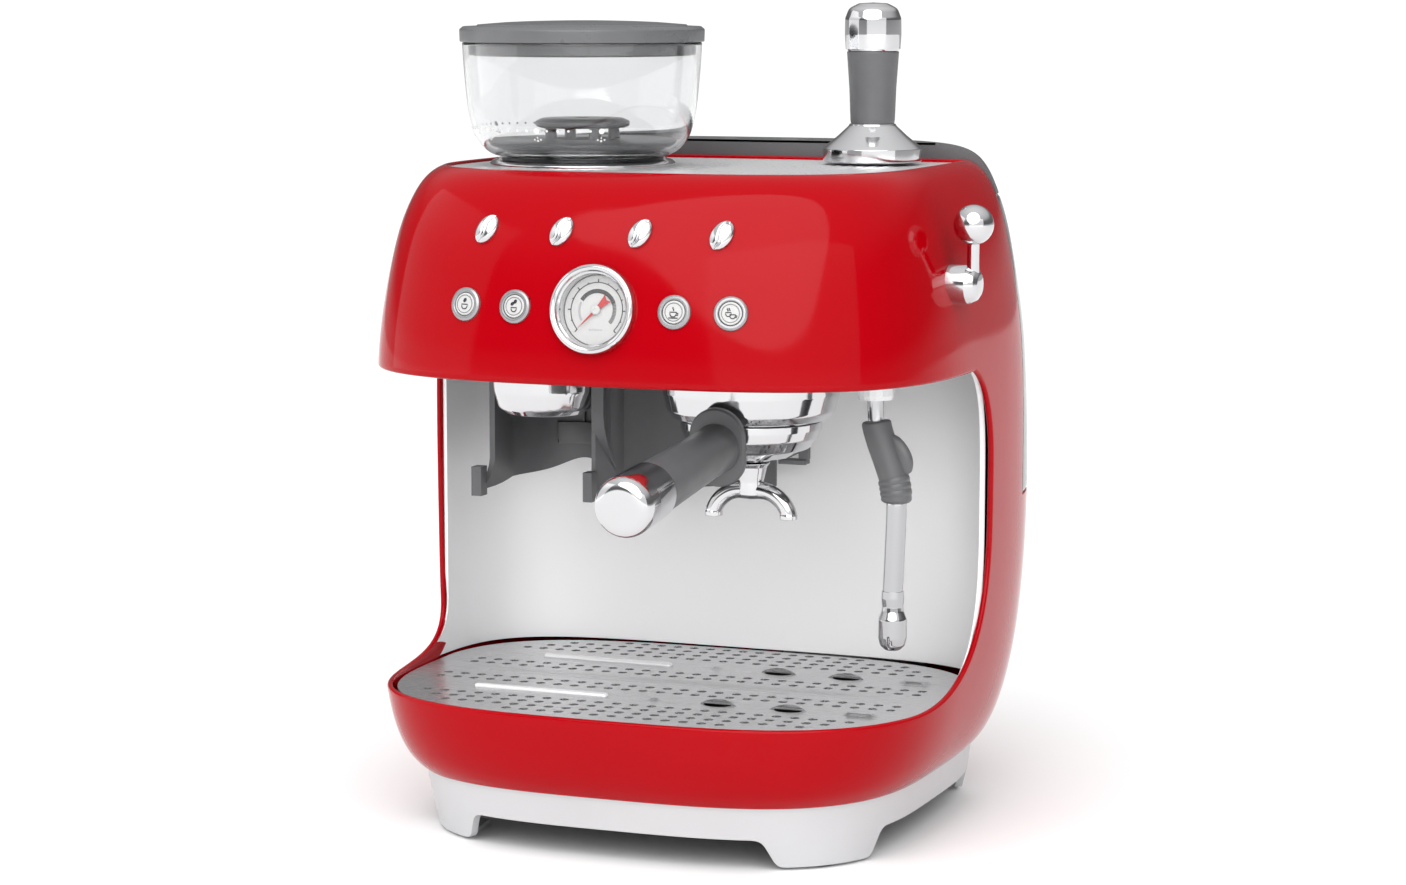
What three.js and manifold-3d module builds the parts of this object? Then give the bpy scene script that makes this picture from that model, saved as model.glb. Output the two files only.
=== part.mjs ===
// Espresso machine with a built-in grinder: a red shell in a C shape around an open working bay.
// Millimetres, +Z up. The machine faces -Y. The working frame has its origin on the ground at the centre of
// the body's plan; the whole model is then moved so that the middle of its bounding box is over the origin.
import * as THREE from 'three';
import { mergeVertices } from 'three/addons/utils/BufferGeometryUtils.js';
import Module from 'manifold-3d';

const wasm = await Module();
wasm.setup();

// ---- driving dimensions -------------------------------------------------------------------------------
const ORIGIN = new THREE.Vector3(8.42, -12.43, 0); // middle of the bounding box in the working frame

// Body section at each height: [z, half width, depth in front, depth behind, exponent behind]
const BODY = [
  [34, 133, 124, 146, 3.2],
  [40, 140, 129, 151, 3.2],
  [54, 146.5, 134, 160, 3.2],
  [77, 151, 137.5, 172, 3.3],
  [105, 152.5, 138.5, 177, 3.6],
  [145, 153, 139, 178, 4],
  [190, 153.5, 139, 177, 4],
  [241, 153.5, 139, 168, 4],
  [270, 150.5, 137, 165, 4],
  [305, 144.5, 129.5, 162.5, 4],
  [322, 139.5, 122.5, 161, 4],
  [335, 133.5, 115, 157.5, 4],
  [342, 127, 106.5, 151, 4],
  [345, 118, 97, 141, 4],
  [346, 108, 88, 128, 4],
];
const FRONT_EXPONENT = 3.2;
const BODY_SIDES = 32;
const ROUND_SIDES = 18;
const SKIN = 3;
const GAP = 0.4;

const BASE_TOP = 77;
const HEAD_BOTTOM = 241;
const BODY_TOP = 346;
const SEAM_Y = 90; // the shell ends here above the shelf, and the water tank starts
const SHELF_Z = 165; // top of the shell's rear step, under the water tank

// Working bay: its back edge in the side view, and the curved niche behind it
const BAY = { backY: 28, lowCurve: 160, highCurve: 190 };
const NICHE = { y: -29, halfWidth: 149.2, halfDepth: 108, exponent: 4.5, wall: 1.2 };

const PLINTH = { bottom: 1.6, sole: 4, band: 16.5, top: 33.6, wall: 4 };
const ARCH = { front: 82, side: 81, sideCentre: 17 }; // half widths of the openings between the feet
const PLINTH_LEVELS = [
  [PLINTH.bottom, 122, 110, 142, 3.6],
  [17, 127, 117, 145, 3.6],
  [PLINTH.top, 131, 122, 146, 3.6],
];

const PLATE = { halfWidth: 107, front: -87, back: 84, top: 342.6, thick: 2.4, corner: 26 };
const TANK = { bottom: 165.6, top: 324, wall: 2.6, lidRaise: 3.4 };
const TRAY = { bottom: 39, rim: 71.2, grilleTop: 74, wall: 2.2 };

const GROUP = { x: 42, y: -30 };
const OUTLET = { x: -73, y: -30 };
const HOPPER = { x: -58, y: -14, bottom: 346.6, top: 416.4 };
const TAMPER = { x: 80.4, y: 46, height: 82.5 };
const WAND = { x: 114, y: -45, ballZ: 234.5 };
const LEVER = { x: 149.6, y: -25.7, z: 287 };
const INLET = { x: -81, width: 28, z0: 88, z1: 112, face: 173.4 };
const PANEL_Z = 278.5; // height of the gauge and the buttons
const BUTTON_X = [-69.9, -42, 42, 69.9];
const BEAN_X = [-62, -20.7, 20.7, 62];
const BEAN_Z = 315;
const HANDLE = { dropAngle: 6.45, start: 44.8, end: 137, tip: 173.5, z: 211.4 }; // from the group's axis

// ---- materials ----------------------------------------------------------------------------------------
const finish = (color, metalness, roughness) => ({ color, metalness, roughness });
const RED = finish(0xc00014, 0.1, 0.15);
const SILVER = finish(0xc9cacb, 0.8, 0.35);
const CHROME = finish(0xdedfe0, 1, 0.08);
const STEEL = finish(0xbfc1c2, 0.9, 0.3);
const GREY = finish(0x707172, 0, 0.5);
const DARK = finish(0x2c2d2e, 0, 0.6);
const WHITE = finish(0xe8e8e6, 0, 0.4);
const CLEAR = finish(0xdfe6e8, 0, 0.05);
const SMOKE = finish(0x9a9d9f, 0, 0.2);
const COPPER = finish(0xa86a3c, 0.9, 0.35);
const BOARD = finish(0x1f6b3a, 0, 0.6);

const machine = new THREE.Group();
const model = new THREE.Group();
model.position.copy(ORIGIN).negate();
machine.add(model);

function add(name, geometry, look, parent = model) {
  const mesh = new THREE.Mesh(geometry, new THREE.MeshStandardMaterial(look));
  mesh.name = name;
  parent.add(mesh);
  return mesh;
}

// ---- solids -------------------------------------------------------------------------------------------
function solid(geometry) {
  const bare = geometry.clone();
  bare.deleteAttribute('normal');
  bare.deleteAttribute('uv');
  const merged = mergeVertices(bare, 1e-4);
  const mesh = new wasm.Mesh({
    numProp: 3,
    vertProperties: new Float32Array(merged.attributes.position.array),
    triVerts: new Uint32Array(merged.index.array),
  });
  return new wasm.Manifold(mesh);
}

function geometryOf(manifold) {
  const mesh = manifold.getMesh();
  const geometry = new THREE.BufferGeometry();
  geometry.setAttribute('position', new THREE.BufferAttribute(new Float32Array(mesh.vertProperties), 3));
  geometry.setIndex(new THREE.BufferAttribute(new Uint32Array(mesh.triVerts), 1));
  geometry.computeVertexNormals();
  return geometry;
}

const cut = (first, ...rest) => geometryOf(rest.reduce((a, b) => a.subtract(solid(b)), solid(first)));
const join = (first, ...rest) => geometryOf(rest.reduce((a, b) => a.add(solid(b)), solid(first)));
const common = (first, ...rest) => geometryOf(rest.reduce((a, b) => a.intersect(solid(b)), solid(first)));

const at = (geometry, x, y, z) => geometry.translate(x, y, z);
const up = (geometry) => geometry.rotateX(Math.PI / 2); // a shape around +Y becomes one around +Z

function box(x0, x1, y0, y1, z0, z1) {
  const geometry = new THREE.BoxGeometry(x1 - x0, y1 - y0, z1 - z0);
  return at(geometry, (x0 + x1) / 2, (y0 + y1) / 2, (z0 + z1) / 2);
}

function rod(radius, z0, z1, sides = ROUND_SIDES) {
  const geometry = up(new THREE.CylinderGeometry(radius, radius, z1 - z0, sides));
  return at(geometry, 0, 0, (z0 + z1) / 2);
}

// profile: [radius, z] from the bottom of the axis to its top, going round the outside
function turned(profile, sides = ROUND_SIDES) {
  const points = profile.map(([r, z]) => new THREE.Vector2(r, z));
  return up(new THREE.LatheGeometry(points, sides));
}

function ring(inner, outer, z0, z1, sides = ROUND_SIDES) {
  return turned([[inner, z0], [outer, z0], [outer, z1], [inner, z1], [inner, z0]], sides);
}

function prism(points, z0, z1) {
  const shape = new THREE.Shape(points);
  const geometry = new THREE.ExtrudeGeometry(shape, { depth: z1 - z0, bevelEnabled: false });
  return at(geometry, 0, 0, z0);
}

function tube(points, radius, sides = 10, steps = 16) {
  const path = new THREE.CatmullRomCurve3(points.map((p) => new THREE.Vector3(...p)));
  const circle = new THREE.Shape();
  circle.absarc(0, 0, radius, 0, Math.PI * 2);
  return new THREE.ExtrudeGeometry(circle, { extrudePath: path, steps, curveSegments: sides });
}

// ---- the body's form ----------------------------------------------------------------------------------
const power = (value, exponent) => Math.sign(value) * Math.abs(value) ** exponent;

function bodyPoint(level, angle, inset) {
  const [, width, front, back, backExponent] = level;
  const rear = Math.sin(angle) > 0;
  const exponent = 2 / (rear ? backExponent : FRONT_EXPONENT);
  const depth = rear ? back : front;
  return new THREE.Vector2(
    (width - inset) * power(Math.cos(angle), exponent),
    (depth - inset) * power(Math.sin(angle), exponent),
  );
}

// A closed loft through the levels: a cylinder whose rings are moved onto the sections
function loft(levels, inset = 0, sides = BODY_SIDES) {
  const geometry = up(new THREE.CylinderGeometry(1, 1, 1, sides, levels.length - 1));
  const position = geometry.attributes.position;
  for (let i = 0; i < position.count; i += 1) {
    const x = position.getX(i);
    const y = position.getY(i);
    const level = levels[Math.round((position.getZ(i) + 0.5) * (levels.length - 1))];
    const onAxis = Math.hypot(x, y) < 0.5;
    const point = onAxis ? new THREE.Vector2() : bodyPoint(level, Math.atan2(y, x), inset);
    position.setXYZ(i, point.x, point.y, level[0]);
  }
  return geometry;
}

function levelAt(z, levels = BODY) {
  const above = Math.max(1, levels.findIndex((level) => level[0] >= z));
  const [low, high] = [levels[above - 1], levels[above]];
  const t = (z - low[0]) / (high[0] - low[0]);
  return low.map((value, i) => value + (high[i] - value) * t);
}

// The same form drawn inwards, and downwards where the shoulder turns over, open past the underside
function innerBody(inset) {
  const shoulder = 322;
  const drop = (z) => (z > shoulder ? (inset * (z - shoulder)) / (BODY_TOP - shoulder) : 0);
  const levels = BODY.map(([z, ...rest]) => [z - drop(z), ...rest]);
  levels[0] = [30, ...levels[0].slice(1)];
  return loft(levels, inset);
}

function bodySection(z, inset) {
  const level = levelAt(z);
  const points = [];
  for (let i = 0; i < BODY_SIDES; i += 1) {
    points.push(bodyPoint(level, (i / BODY_SIDES) * Math.PI * 2, inset));
  }
  return points;
}

function nichePlan(inset) {
  const points = [];
  for (let i = 0; i < BODY_SIDES; i += 1) {
    const angle = (i / BODY_SIDES) * Math.PI * 2;
    const exponent = 2 / NICHE.exponent;
    points.push(new THREE.Vector2(
      (NICHE.halfWidth - inset) * power(Math.cos(angle), exponent),
      NICHE.y + (NICHE.halfDepth - inset) * power(Math.sin(angle), exponent),
    ));
  }
  return points;
}

// The bay seen from the side, cut right through the shell: x runs along the machine's Y, y along its Z
function bayCutter() {
  const front = -200;
  const side = new THREE.Shape();
  side.moveTo(front, BASE_TOP);
  side.lineTo(-75, BASE_TOP);
  side.bezierCurveTo(-5, BASE_TOP, BAY.backY, 105, BAY.backY, BAY.lowCurve);
  side.lineTo(BAY.backY, BAY.highCurve);
  side.bezierCurveTo(BAY.backY, 215, 18, 235, -2, HEAD_BOTTOM);
  side.lineTo(front, HEAD_BOTTOM);
  const width = 400;
  const geometry = new THREE.ExtrudeGeometry(side, { depth: width, bevelEnabled: false, curveSegments: 5 });
  // local x -> Y, local y -> Z, local z -> X
  const turn = new THREE.Matrix4().makeBasis(
    new THREE.Vector3(0, 1, 0),
    new THREE.Vector3(0, 0, 1),
    new THREE.Vector3(1, 0, 0),
  );
  return at(geometry.applyMatrix4(turn), -width / 2, 0, 0);
}

function platePlan(inset) {
  const { halfWidth, front, back, corner } = PLATE;
  const [w, f, b, r] = [halfWidth - inset, front + inset, back - inset, corner];
  const shape = new THREE.Shape();
  shape.moveTo(-w + r, f);
  shape.quadraticCurveTo(0, f - 6, w - r, f);
  shape.quadraticCurveTo(w, f + 2, w, f + r);
  shape.lineTo(w, b - 6);
  shape.lineTo(w - 6, b);
  shape.lineTo(-w + 6, b);
  shape.lineTo(-w, b - 6);
  shape.lineTo(-w, f + r);
  shape.quadraticCurveTo(-w, f + 2, -w + r, f);
  return shape.getPoints(5);
}

// A spot on the front panel: its place and a turn that takes +Z to the panel's outward normal
function panelSpot(x, z) {
  const depthAt = (px, pz) => {
    const [, width, front] = levelAt(pz);
    return -front * (1 - Math.abs(px / width) ** FRONT_EXPONENT) ** (1 / FRONT_EXPONENT);
  };
  const slopeX = depthAt(x + 1, z) - depthAt(x, z);
  const slopeZ = (depthAt(x, z + 15) - depthAt(x, z - 15)) / 30;
  const normal = new THREE.Vector3(slopeX, -1, slopeZ).normalize();
  const turn = new THREE.Matrix4().lookAt(normal, new THREE.Vector3(), new THREE.Vector3(0, 0, 1));
  return { position: new THREE.Vector3(x, depthAt(x, z), z), normal, turn };
}

function onPanel(geometry, spot) {
  return geometry.applyMatrix4(spot.turn).translate(spot.position.x, spot.position.y, spot.position.z);
}

const gaugeSpot = panelSpot(0, PANEL_Z);
const buttonSpots = BUTTON_X.map((x) => panelSpot(x, PANEL_Z));
const beanSpots = BEAN_X.map((x) => panelSpot(x, BEAN_Z));

// ---- fixed outer pieces -------------------------------------------------------------------------------
const GAUGE_HOLE = 20;
const BUTTON_HOLE = 7.4;

function bodyShell() {
  const holes = [
    onPanel(rod(GAUGE_HOLE, -12, 12, 24), gaugeSpot),
    ...buttonSpots.map((spot) => onPanel(rod(BUTTON_HOLE, -10, 10, 12), spot)),
  ];
  const leverHole = at(rod(6, -8, 8, 14).rotateY(Math.PI / 2), 148, LEVER.y, LEVER.z);
  const inletHole = box(INLET.x - INLET.width / 2, INLET.x + INLET.width / 2, 150, 190, INLET.z0, INLET.z1);
  return cut(
    loft(BODY),
    innerBody(SKIN),
    bayCutter(),
    box(-200, 200, SEAM_Y, 250, SHELF_Z, 400),
    prism(platePlan(0), 330, 360),
    leverHole,
    inletHole,
    ...holes,
  );
}

// The skirt's underside is cut away between the feet by an arch along each axis
function archCutter(half) {
  const { band, bottom } = PLINTH;
  const right = [[half + 5, bottom - 5], [half + 3, bottom + 2], [half - 3, band - 3], [half - 7, band]];
  const left = right.map(([x, z]) => [-x, z]).reverse();
  const outline = [...right, ...left].map(([x, z]) => new THREE.Vector2(x, z));
  const length = 420;
  const arch = new THREE.ExtrudeGeometry(new THREE.Shape(outline), { depth: length, bevelEnabled: false });
  return at(up(arch), 0, length / 2, 0);
}

function plinthFrame() {
  const inner = [PLINTH.sole, 17, 40].map((z, i) => [z, ...PLINTH_LEVELS[i].slice(1)]);
  const across = at(archCutter(ARCH.side).rotateZ(Math.PI / 2), 0, ARCH.sideCentre, 0);
  return cut(loft(PLINTH_LEVELS), loft(inner, PLINTH.wall), archCutter(ARCH.front), across);
}

const FOOT_PAD_PLACES = [[-98, -80], [98, -80], [-98, 112], [98, 112]];

const footPad = ([x, y]) => at(rod(9, 0, PLINTH.bottom - 0.3, 14), x, y, 0);

function basePlate() {
  const plate = prism(bodySection(34.5, SKIN + 1), 34.6, 37.4);
  const slots = [-60, -30, 0, 30, 60].map((x) => box(x - 8, x + 8, 96, 100, 30, 40));
  return cut(plate, ...slots);
}

function splashPanel() {
  const wall = cut(prism(nichePlan(0), 75.4, 240.6), prism(nichePlan(NICHE.wall), 70, 250));
  const trimmed = cut(wall, box(-200, 200, -200, -60, 60, 260), bayCutter());
  return common(trimmed, innerBody(SKIN + GAP));
}

function headLiner() {
  const [bottom, top] = [237.4, 240.6];
  const plan = bodySection(HEAD_BOTTOM, SKIN + GAP);
  return cut(
    common(prism(plan, bottom, top), prism(nichePlan(NICHE.wall + GAP), 0, top)),
    at(rod(46.4, 200, 260, 20), GROUP.x, GROUP.y, 0),
    at(rod(28.4, 200, 260, 18), OUTLET.x, OUTLET.y, 0),
    at(rod(10.2, 200, 260, 12), WAND.x, WAND.y, 0),
  );
}

function cupWarmer() {
  const plate = prism(platePlan(GAP), PLATE.top - PLATE.thick, PLATE.top);
  const collar = turned([[0, 341], [47, 341], [47, 343], [46, 344.6], [41, 346.2], [0, 346.2]], 24);
  const mouth = rod(38, 300, 400, 24);
  return cut(join(plate, at(collar, HOPPER.x, HOPPER.y, 0)), at(mouth, HOPPER.x, HOPPER.y, 0));
}

function tankDock() {
  const wall = box(-200, 200, SEAM_Y - 3.4, SEAM_Y - GAP, 161, 336);
  const shelf = box(-200, 200, SEAM_Y - 3.4, 220, 161, SHELF_Z - 0.2);
  const insert = common(join(wall, shelf), innerBody(SKIN + GAP));
  return cut(insert, at(rod(7, 150, 170, 16), 0, 130, 0));
}

add('body_shell', bodyShell(), RED);
add('plinth_frame', plinthFrame(), SILVER);
FOOT_PAD_PLACES.forEach((place, i) => add(`foot_pad_${i + 1}`, footPad(place), DARK));
add('base_plate', basePlate(), DARK);
add('splash_panel', splashPanel(), STEEL);
add('head_liner', headLiner(), GREY);
add('cup_warmer_plate', cupWarmer(), STEEL);
add('tank_dock', tankDock(), DARK);

// ---- grinder side -------------------------------------------------------------------------------------
function outletCollar() {
  const profile = [
    [17, 213.6], [20, 213.2], [24, 216], [26.6, 224], [27.4, 236], [27.4, 244], [24.4, 244], [23.4, 224],
    [17, 213.6],
  ];
  return at(turned(profile, 20), OUTLET.x, OUTLET.y, 0);
}

// A half-round shroud behind the outlet, with a fork at its foot that carries the portafilter
const CRADLE = { x: -78, y: -4, radius: 34, wall: 3, top: 237, bottom: 178, fork: 10, reach: 30 };

function cradle() {
  const { x, y, radius, wall, top, bottom, fork, reach } = CRADLE;
  const inside = rod(radius - wall, 0, 300, 24);
  const back = cut(rod(radius, bottom, top, 24), inside, box(-60, 60, -60, 0, 0, 300));
  const floor = cut(
    rod(radius - wall + 0.5, bottom, bottom + wall, 24),
    box(-60, 60, -60, 0, 0, 300),
    at(rod(15, 0, 300, 14), 0, 6, 0),
    box(-15, 15, -10, 6, 0, 300),
  );
  const prongs = [-1, 1].map((side) => {
    const outer = side * (radius + 1.5);
    const inner = side * (radius - 4);
    return box(Math.min(inner, outer), Math.max(inner, outer), -reach, 4, bottom - fork, bottom + 1.5);
  });
  return at(join(back, floor, ...prongs), x, y, 0);
}

// A curved apron between the grinder and the group, bulging forwards beside the cradle
function groupSurround() {
  const [radius, wall, centreX, centreY] = [78, 3, 34, -22];
  const arc = cut(
    at(rod(radius, 168, 237, 44), centreX, centreY, 0),
    at(rod(radius - wall, 0, 300, 44), centreX, centreY, 0),
    box(-200, 200, -200, 6, 0, 300),
    box(centreX + 34, 200, -200, 200, 0, 300),
  );
  const rib = box(centreX - radius + 3.4, centreX - radius + 8.4, 2, 14, 168, 237);
  const clearance = at(rod(CRADLE.radius + 2.2, 0, 300, 28), CRADLE.x, CRADLE.y, 0);
  return common(cut(join(arc, rib), clearance), prism(nichePlan(NICHE.wall + GAP), 0, 300));
}

function grinderHousing() {
  const profile = [
    [5.4, 272], [35, 272], [35, 334], [37.5, 334], [37.5, 337], [32, 337], [32, 296], [29, 276], [5.4, 276],
    [5.4, 272],
  ];
  return at(turned(profile, 20), HOPPER.x, HOPPER.y, 0);
}

function grinderMotor() {
  return at(turned([[0, 246], [30, 246], [30, 267], [27, 270], [0, 270]]), HOPPER.x, HOPPER.y, 0);
}

function grindingBurr() {
  const cone = turned([[0, 271], [4, 271], [4, 284], [24, 284], [24, 289], [6, 310], [0, 311]]);
  const teeth = [];
  const count = 6;
  for (let i = 0; i < count; i += 1) {
    teeth.push(box(15, 26, -1.2, 1.2, 287, 305).rotateZ((i / count) * Math.PI * 2));
  }
  return at(cut(cone, ...teeth), HOPPER.x, HOPPER.y, 0);
}

add('outlet_collar', outletCollar(), CHROME);
add('portafilter_cradle', cradle(), GREY);
add('group_surround', groupSurround(), GREY);
add('grinder_housing', grinderHousing(), DARK);
add('grinder_motor', grinderMotor(), STEEL);
add('grinding_burr', grindingBurr(), STEEL);

// ---- hopper -------------------------------------------------------------------------------------------
const hopperPlace = (geometry) => at(geometry, HOPPER.x, HOPPER.y, 0);

function hopperBowl() {
  const profile = [
    [16, 328], [19, 328], [19, 346.6], [41.5, 346.6], [52, 351], [57, 359], [59.4, 370], [62.2, 405],
    [60.2, 405], [57.4, 370.6], [54.8, 360], [50.4, 353], [41, 349.2], [16, 349.2], [16, 328],
  ];
  return hopperPlace(turned(profile, 24));
}

function fingerGuard() {
  const base = ring(17, 37.5, 349.6, 353.4);
  const disc = ring(4, 24.6, 357.8, 361.8);
  const posts = [];
  const count = 4;
  for (let i = 0; i < count; i += 1) {
    const angle = ((i + 0.5) / count) * Math.PI * 2;
    posts.push(at(rod(2.6, 352, 359, 8), 20 * Math.cos(angle), 20 * Math.sin(angle), 0));
  }
  return hopperPlace(join(base, disc, ...posts));
}

function hopperLid() {
  const cover = turned([
    [0, 407.6], [56, 407.6], [56, 398.4], [58.6, 398.4], [58.6, 405.4], [63.5, 405.4], [63.5, 411.6],
    [61, 413.6], [40, 415.6], [0, HOPPER.top],
  ], 24);
  const grip = at(new THREE.SphereGeometry(1, 14, 8).scale(24, 10, 6), 0, 0, HOPPER.top + 1.5);
  return hopperPlace(cut(cover, grip));
}

add('hopper_bowl', hopperBowl(), CLEAR);
add('finger_guard', fingerGuard(), GREY);
add('hopper_lid', hopperLid(), GREY);

// ---- group head and portafilter -----------------------------------------------------------------------
const groupPlace = (geometry) => at(geometry, GROUP.x, GROUP.y, 0);

function groupHead() {
  return groupPlace(turned([
    [0, 226], [37.4, 226], [37.4, 215.6], [39.6, 215.6], [43.4, 220.5], [45.2, 230], [45.2, 246], [0, 246],
  ], 24));
}

const showerScreen = () => groupPlace(turned([[0, 220.6], [26.5, 220.6], [26.5, 225.6], [0, 225.6]]));

function portafilterBody() {
  const bowl = turned([
    [0, 193.6], [16, 194.2], [27, 198], [33, 203.5], [36, 210], [36, 215], [35, 215.2], [35, 218.6],
    [31.6, 218.6], [31.6, 206], [24, 199], [0, 198],
  ], 20);
  const neck = at(rod(8.5, 33, 42.6, 12).rotateX(Math.PI / 2), 0, 0, HANDLE.z - 5.4);
  return groupPlace(cut(join(bowl, neck), rod(3.2, 180, 210, 8)));
}

function filterBasket() {
  return groupPlace(turned([
    [0, 199.8], [23, 200.2], [29.6, 206.4], [30.4, 219], [34.4, 219], [34.4, 220], [29.4, 220], [28.6, 206.6],
    [22.6, 201.4], [0, 201],
  ]));
}

// Handle pieces are made along +Z from the group axis outwards, then laid forwards and tipped down
function handlePlace(geometry) {
  const tip = THREE.MathUtils.degToRad(90 + HANDLE.dropAngle);
  return groupPlace(at(geometry.rotateX(tip), 0, 0, HANDLE.z));
}

function portafilterHandle() {
  const { start, end } = HANDLE;
  const flange = new THREE.Shape();
  const [half, tall] = [14.5, 5.5];
  flange.moveTo(half, -tall);
  flange.lineTo(half, tall);
  flange.absarc(0, tall, half, 0, Math.PI);
  flange.lineTo(-half, -tall);
  flange.absarc(0, -tall, half, Math.PI, 0);
  const plate = new THREE.ExtrudeGeometry(flange, { depth: 4, bevelEnabled: false, curveSegments: 6 });
  const grip = turned([[0, start + 3], [12.2, start + 3], [13.4, end], [0, end]]);
  return handlePlace(join(at(plate, 0, 0, start), grip));
}

function handleCap() {
  const { end, tip } = HANDLE;
  const radius = 15;
  return handlePlace(turned([
    [0, end + GAP], [radius, end + GAP], [radius, tip - 8], [radius - 2, tip - 3.4],
    [radius - 6.5, tip - 0.5], [0, tip],
  ]));
}

function spout() {
  const reach = 19;
  const arms = tube([
    [-reach - 1, 0, 164.6], [-reach - 0.4, 0, 169], [-14, 0, 175.6], [-6, 0, 178], [0, 0, 178.4],
    [6, 0, 178], [14, 0, 175.6], [reach + 0.4, 0, 169], [reach + 1, 0, 164.6],
  ], 4.3, 4, 10);
  const stem = turned([[0, 175], [7, 175], [7, 180], [9.5, 192.6], [0, 192.6]], 12);
  return groupPlace(join(arms, stem));
}

add('group_head', groupHead(), CHROME);
add('shower_screen', showerScreen(), STEEL);
add('portafilter_body', portafilterBody(), CHROME);
add('filter_basket', filterBasket(), STEEL);
add('portafilter_handle', portafilterHandle(), GREY);
add('handle_cap', handleCap(), CHROME);
add('spout', spout(), CHROME);

// ---- control panel ------------------------------------------------------------------------------------
function gaugeBezel() {
  return onPanel(turned([
    [17.6, -9], [19.5, -9], [19.5, 0.6], [22, 0.6], [22, 2.6], [20.4, 4.4], [17.6, 3], [17.6, -9],
  ], 24), gaugeSpot);
}

const gaugeDial = () => onPanel(rod(17.2, -8.4, -7, 20), gaugeSpot);
const gaugeLens = () => onPanel(turned([[0, 0.4], [17.2, 0.4], [17.2, 1.6], [0, 2.2]], 20), gaugeSpot);

const NEEDLE_REST = THREE.MathUtils.degToRad(225); // the tip lies low on the left, seen from the front

function gaugeNeedle() {
  const outline = [[13, 0], [0, 1], [-3, 2], [-8, 2.4], [-6, 0], [-8, -2.4], [-3, -2], [0, -1]];
  const blade = prism(outline.map(([x, y]) => new THREE.Vector2(x, y)), -5.6, -4.8);
  return onPanel(join(blade, rod(2.4, -6.4, -3.6, 12)).rotateZ(NEEDLE_REST), gaugeSpot);
}

function buttonRing(spot) {
  return onPanel(turned([
    [5.9, -6], [7.1, -6], [7.1, 0.5], [8.1, 0.5], [8.1, 1.3], [5.9, 1.9], [5.9, -6],
  ], 14), spot);
}

const pushButton = (spot) => onPanel(turned([[0, -3.4], [5.6, -3.4], [5.6, 1.2], [0, 1.5]], 14), spot);

function beanOrnament(spot) {
  const bean = new THREE.SphereGeometry(1, 12, 6).scale(7.8, 5.4, 3.6);
  const groove = box(-9, 9, -0.5, 0.5, 2.2, 6);
  const below = box(-12, 12, -12, 12, -8, 0.5);
  return onPanel(cut(bean, groove, below).rotateZ(THREE.MathUtils.degToRad(60)), spot);
}

add('gauge_bezel', gaugeBezel(), CHROME);
add('gauge_dial', gaugeDial(), WHITE);
add('gauge_needle', gaugeNeedle(), RED);
add('gauge_lens', gaugeLens(), CLEAR);
buttonSpots.forEach((spot, i) => {
  add(`button_ring_${i + 1}`, buttonRing(spot), SILVER);
  add(`button_${i + 1}`, pushButton(spot), WHITE);
});
beanSpots.forEach((spot, i) => add(`bean_ornament_${i + 1}`, beanOrnament(spot), CHROME));

// ---- steam side ---------------------------------------------------------------------------------------
// The lever is made along +Z from the body's side outwards, with its arm pointing to -X, then laid along +X
function steamLever() {
  const knob = turned([[0, -24], [4.5, -24], [4.5, 0], [9.7, 0], [9.7, 7], [7.6, 10.6], [0, 12.6]], 14);
  const arm = rod(3, 5, 29, 8).rotateX(THREE.MathUtils.degToRad(-7)).rotateY(-Math.PI / 2);
  const ball = new THREE.SphereGeometry(10, 14, 8);
  const lever = join(knob, at(arm, 0, 0, 8), at(ball, -30, -3.6, 11));
  return at(lever.rotateY(Math.PI / 2), LEVER.x, LEVER.y, LEVER.z);
}

const wandPlace = (geometry) => at(geometry, WAND.x, WAND.y, 0);

// The valve's outlet pipe ends in the socket that holds the wand's ball
function steamValve() {
  const { y, z } = LEVER;
  const { ballZ } = WAND;
  const body = box(104, 136, y - 12, y + 12, z - 12, z + 12);
  const bore = at(rod(5.2, -13, 3, 12).rotateY(Math.PI / 2), 136, y, z);
  const route = [
    [WAND.x, y, z - 11], [WAND.x, y, z - 20], [WAND.x, WAND.y, z - 34], [WAND.x, WAND.y, ballZ + 9],
  ];
  const socket = wandPlace(turned([
    [0, ballZ + 7.4], [7.4, ballZ + 7.4], [7.4, ballZ - 1.5], [6.4, ballZ - 4.6], [8.6, ballZ - 4.6],
    [9.6, ballZ - 2.4], [9.6, ballZ + 10], [0, ballZ + 10],
  ]));
  return cut(join(body, tube(route, 4, 4, 5), socket), bore);
}

const wandBall = () => wandPlace(at(new THREE.SphereGeometry(6.8, 12, 8), 0, 0, WAND.ballZ));

const wandPath = [[0, 0, 227.2], [0.2, 0, 220], [3.2, 0, 211], [8.2, 0, 199], [11.2, 0, 188], [11.4, 0, 181]];
const WAND_FOOT = { x: 9.6, z: 133.4 };

function wandPipe(extra) {
  const { x, z } = WAND_FOOT;
  const lower = tube([[11.4, 0, 190], [11, 0, 170], [x, 0, z]], 5.3 + extra, 4, 2);
  return wandPlace(join(tube(wandPath, 4.3 + extra, 4, 8), lower));
}

function wandGrip() {
  const grip = tube([[0.6, 0, 218.6], ...wandPath.slice(2), [11.2, 0, 177]], 7.4, 4, 7);
  const tab = box(14, 20, -3, 3, 194, 211);
  return cut(wandPlace(join(grip, tab)), wandPipe(GAP));
}

function wandTip() {
  const { x, z } = WAND_FOOT;
  const tip = turned([
    [0, z - 30], [4, z - 29.2], [7.1, z - 24], [7.1, z - 15], [5.3, z - 9], [5.3, z - 0.4], [0, z - 0.4],
  ], 14);
  return wandPlace(at(tip, x, 0, 0));
}

add('steam_lever', steamLever(), CHROME);
add('steam_valve', steamValve(), STEEL);
add('wand_ball', wandBall(), CHROME);
add('wand_tube', wandPipe(0), CHROME);
add('wand_grip', wandGrip(), GREY);
add('wand_tip', wandTip(), CHROME);

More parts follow.
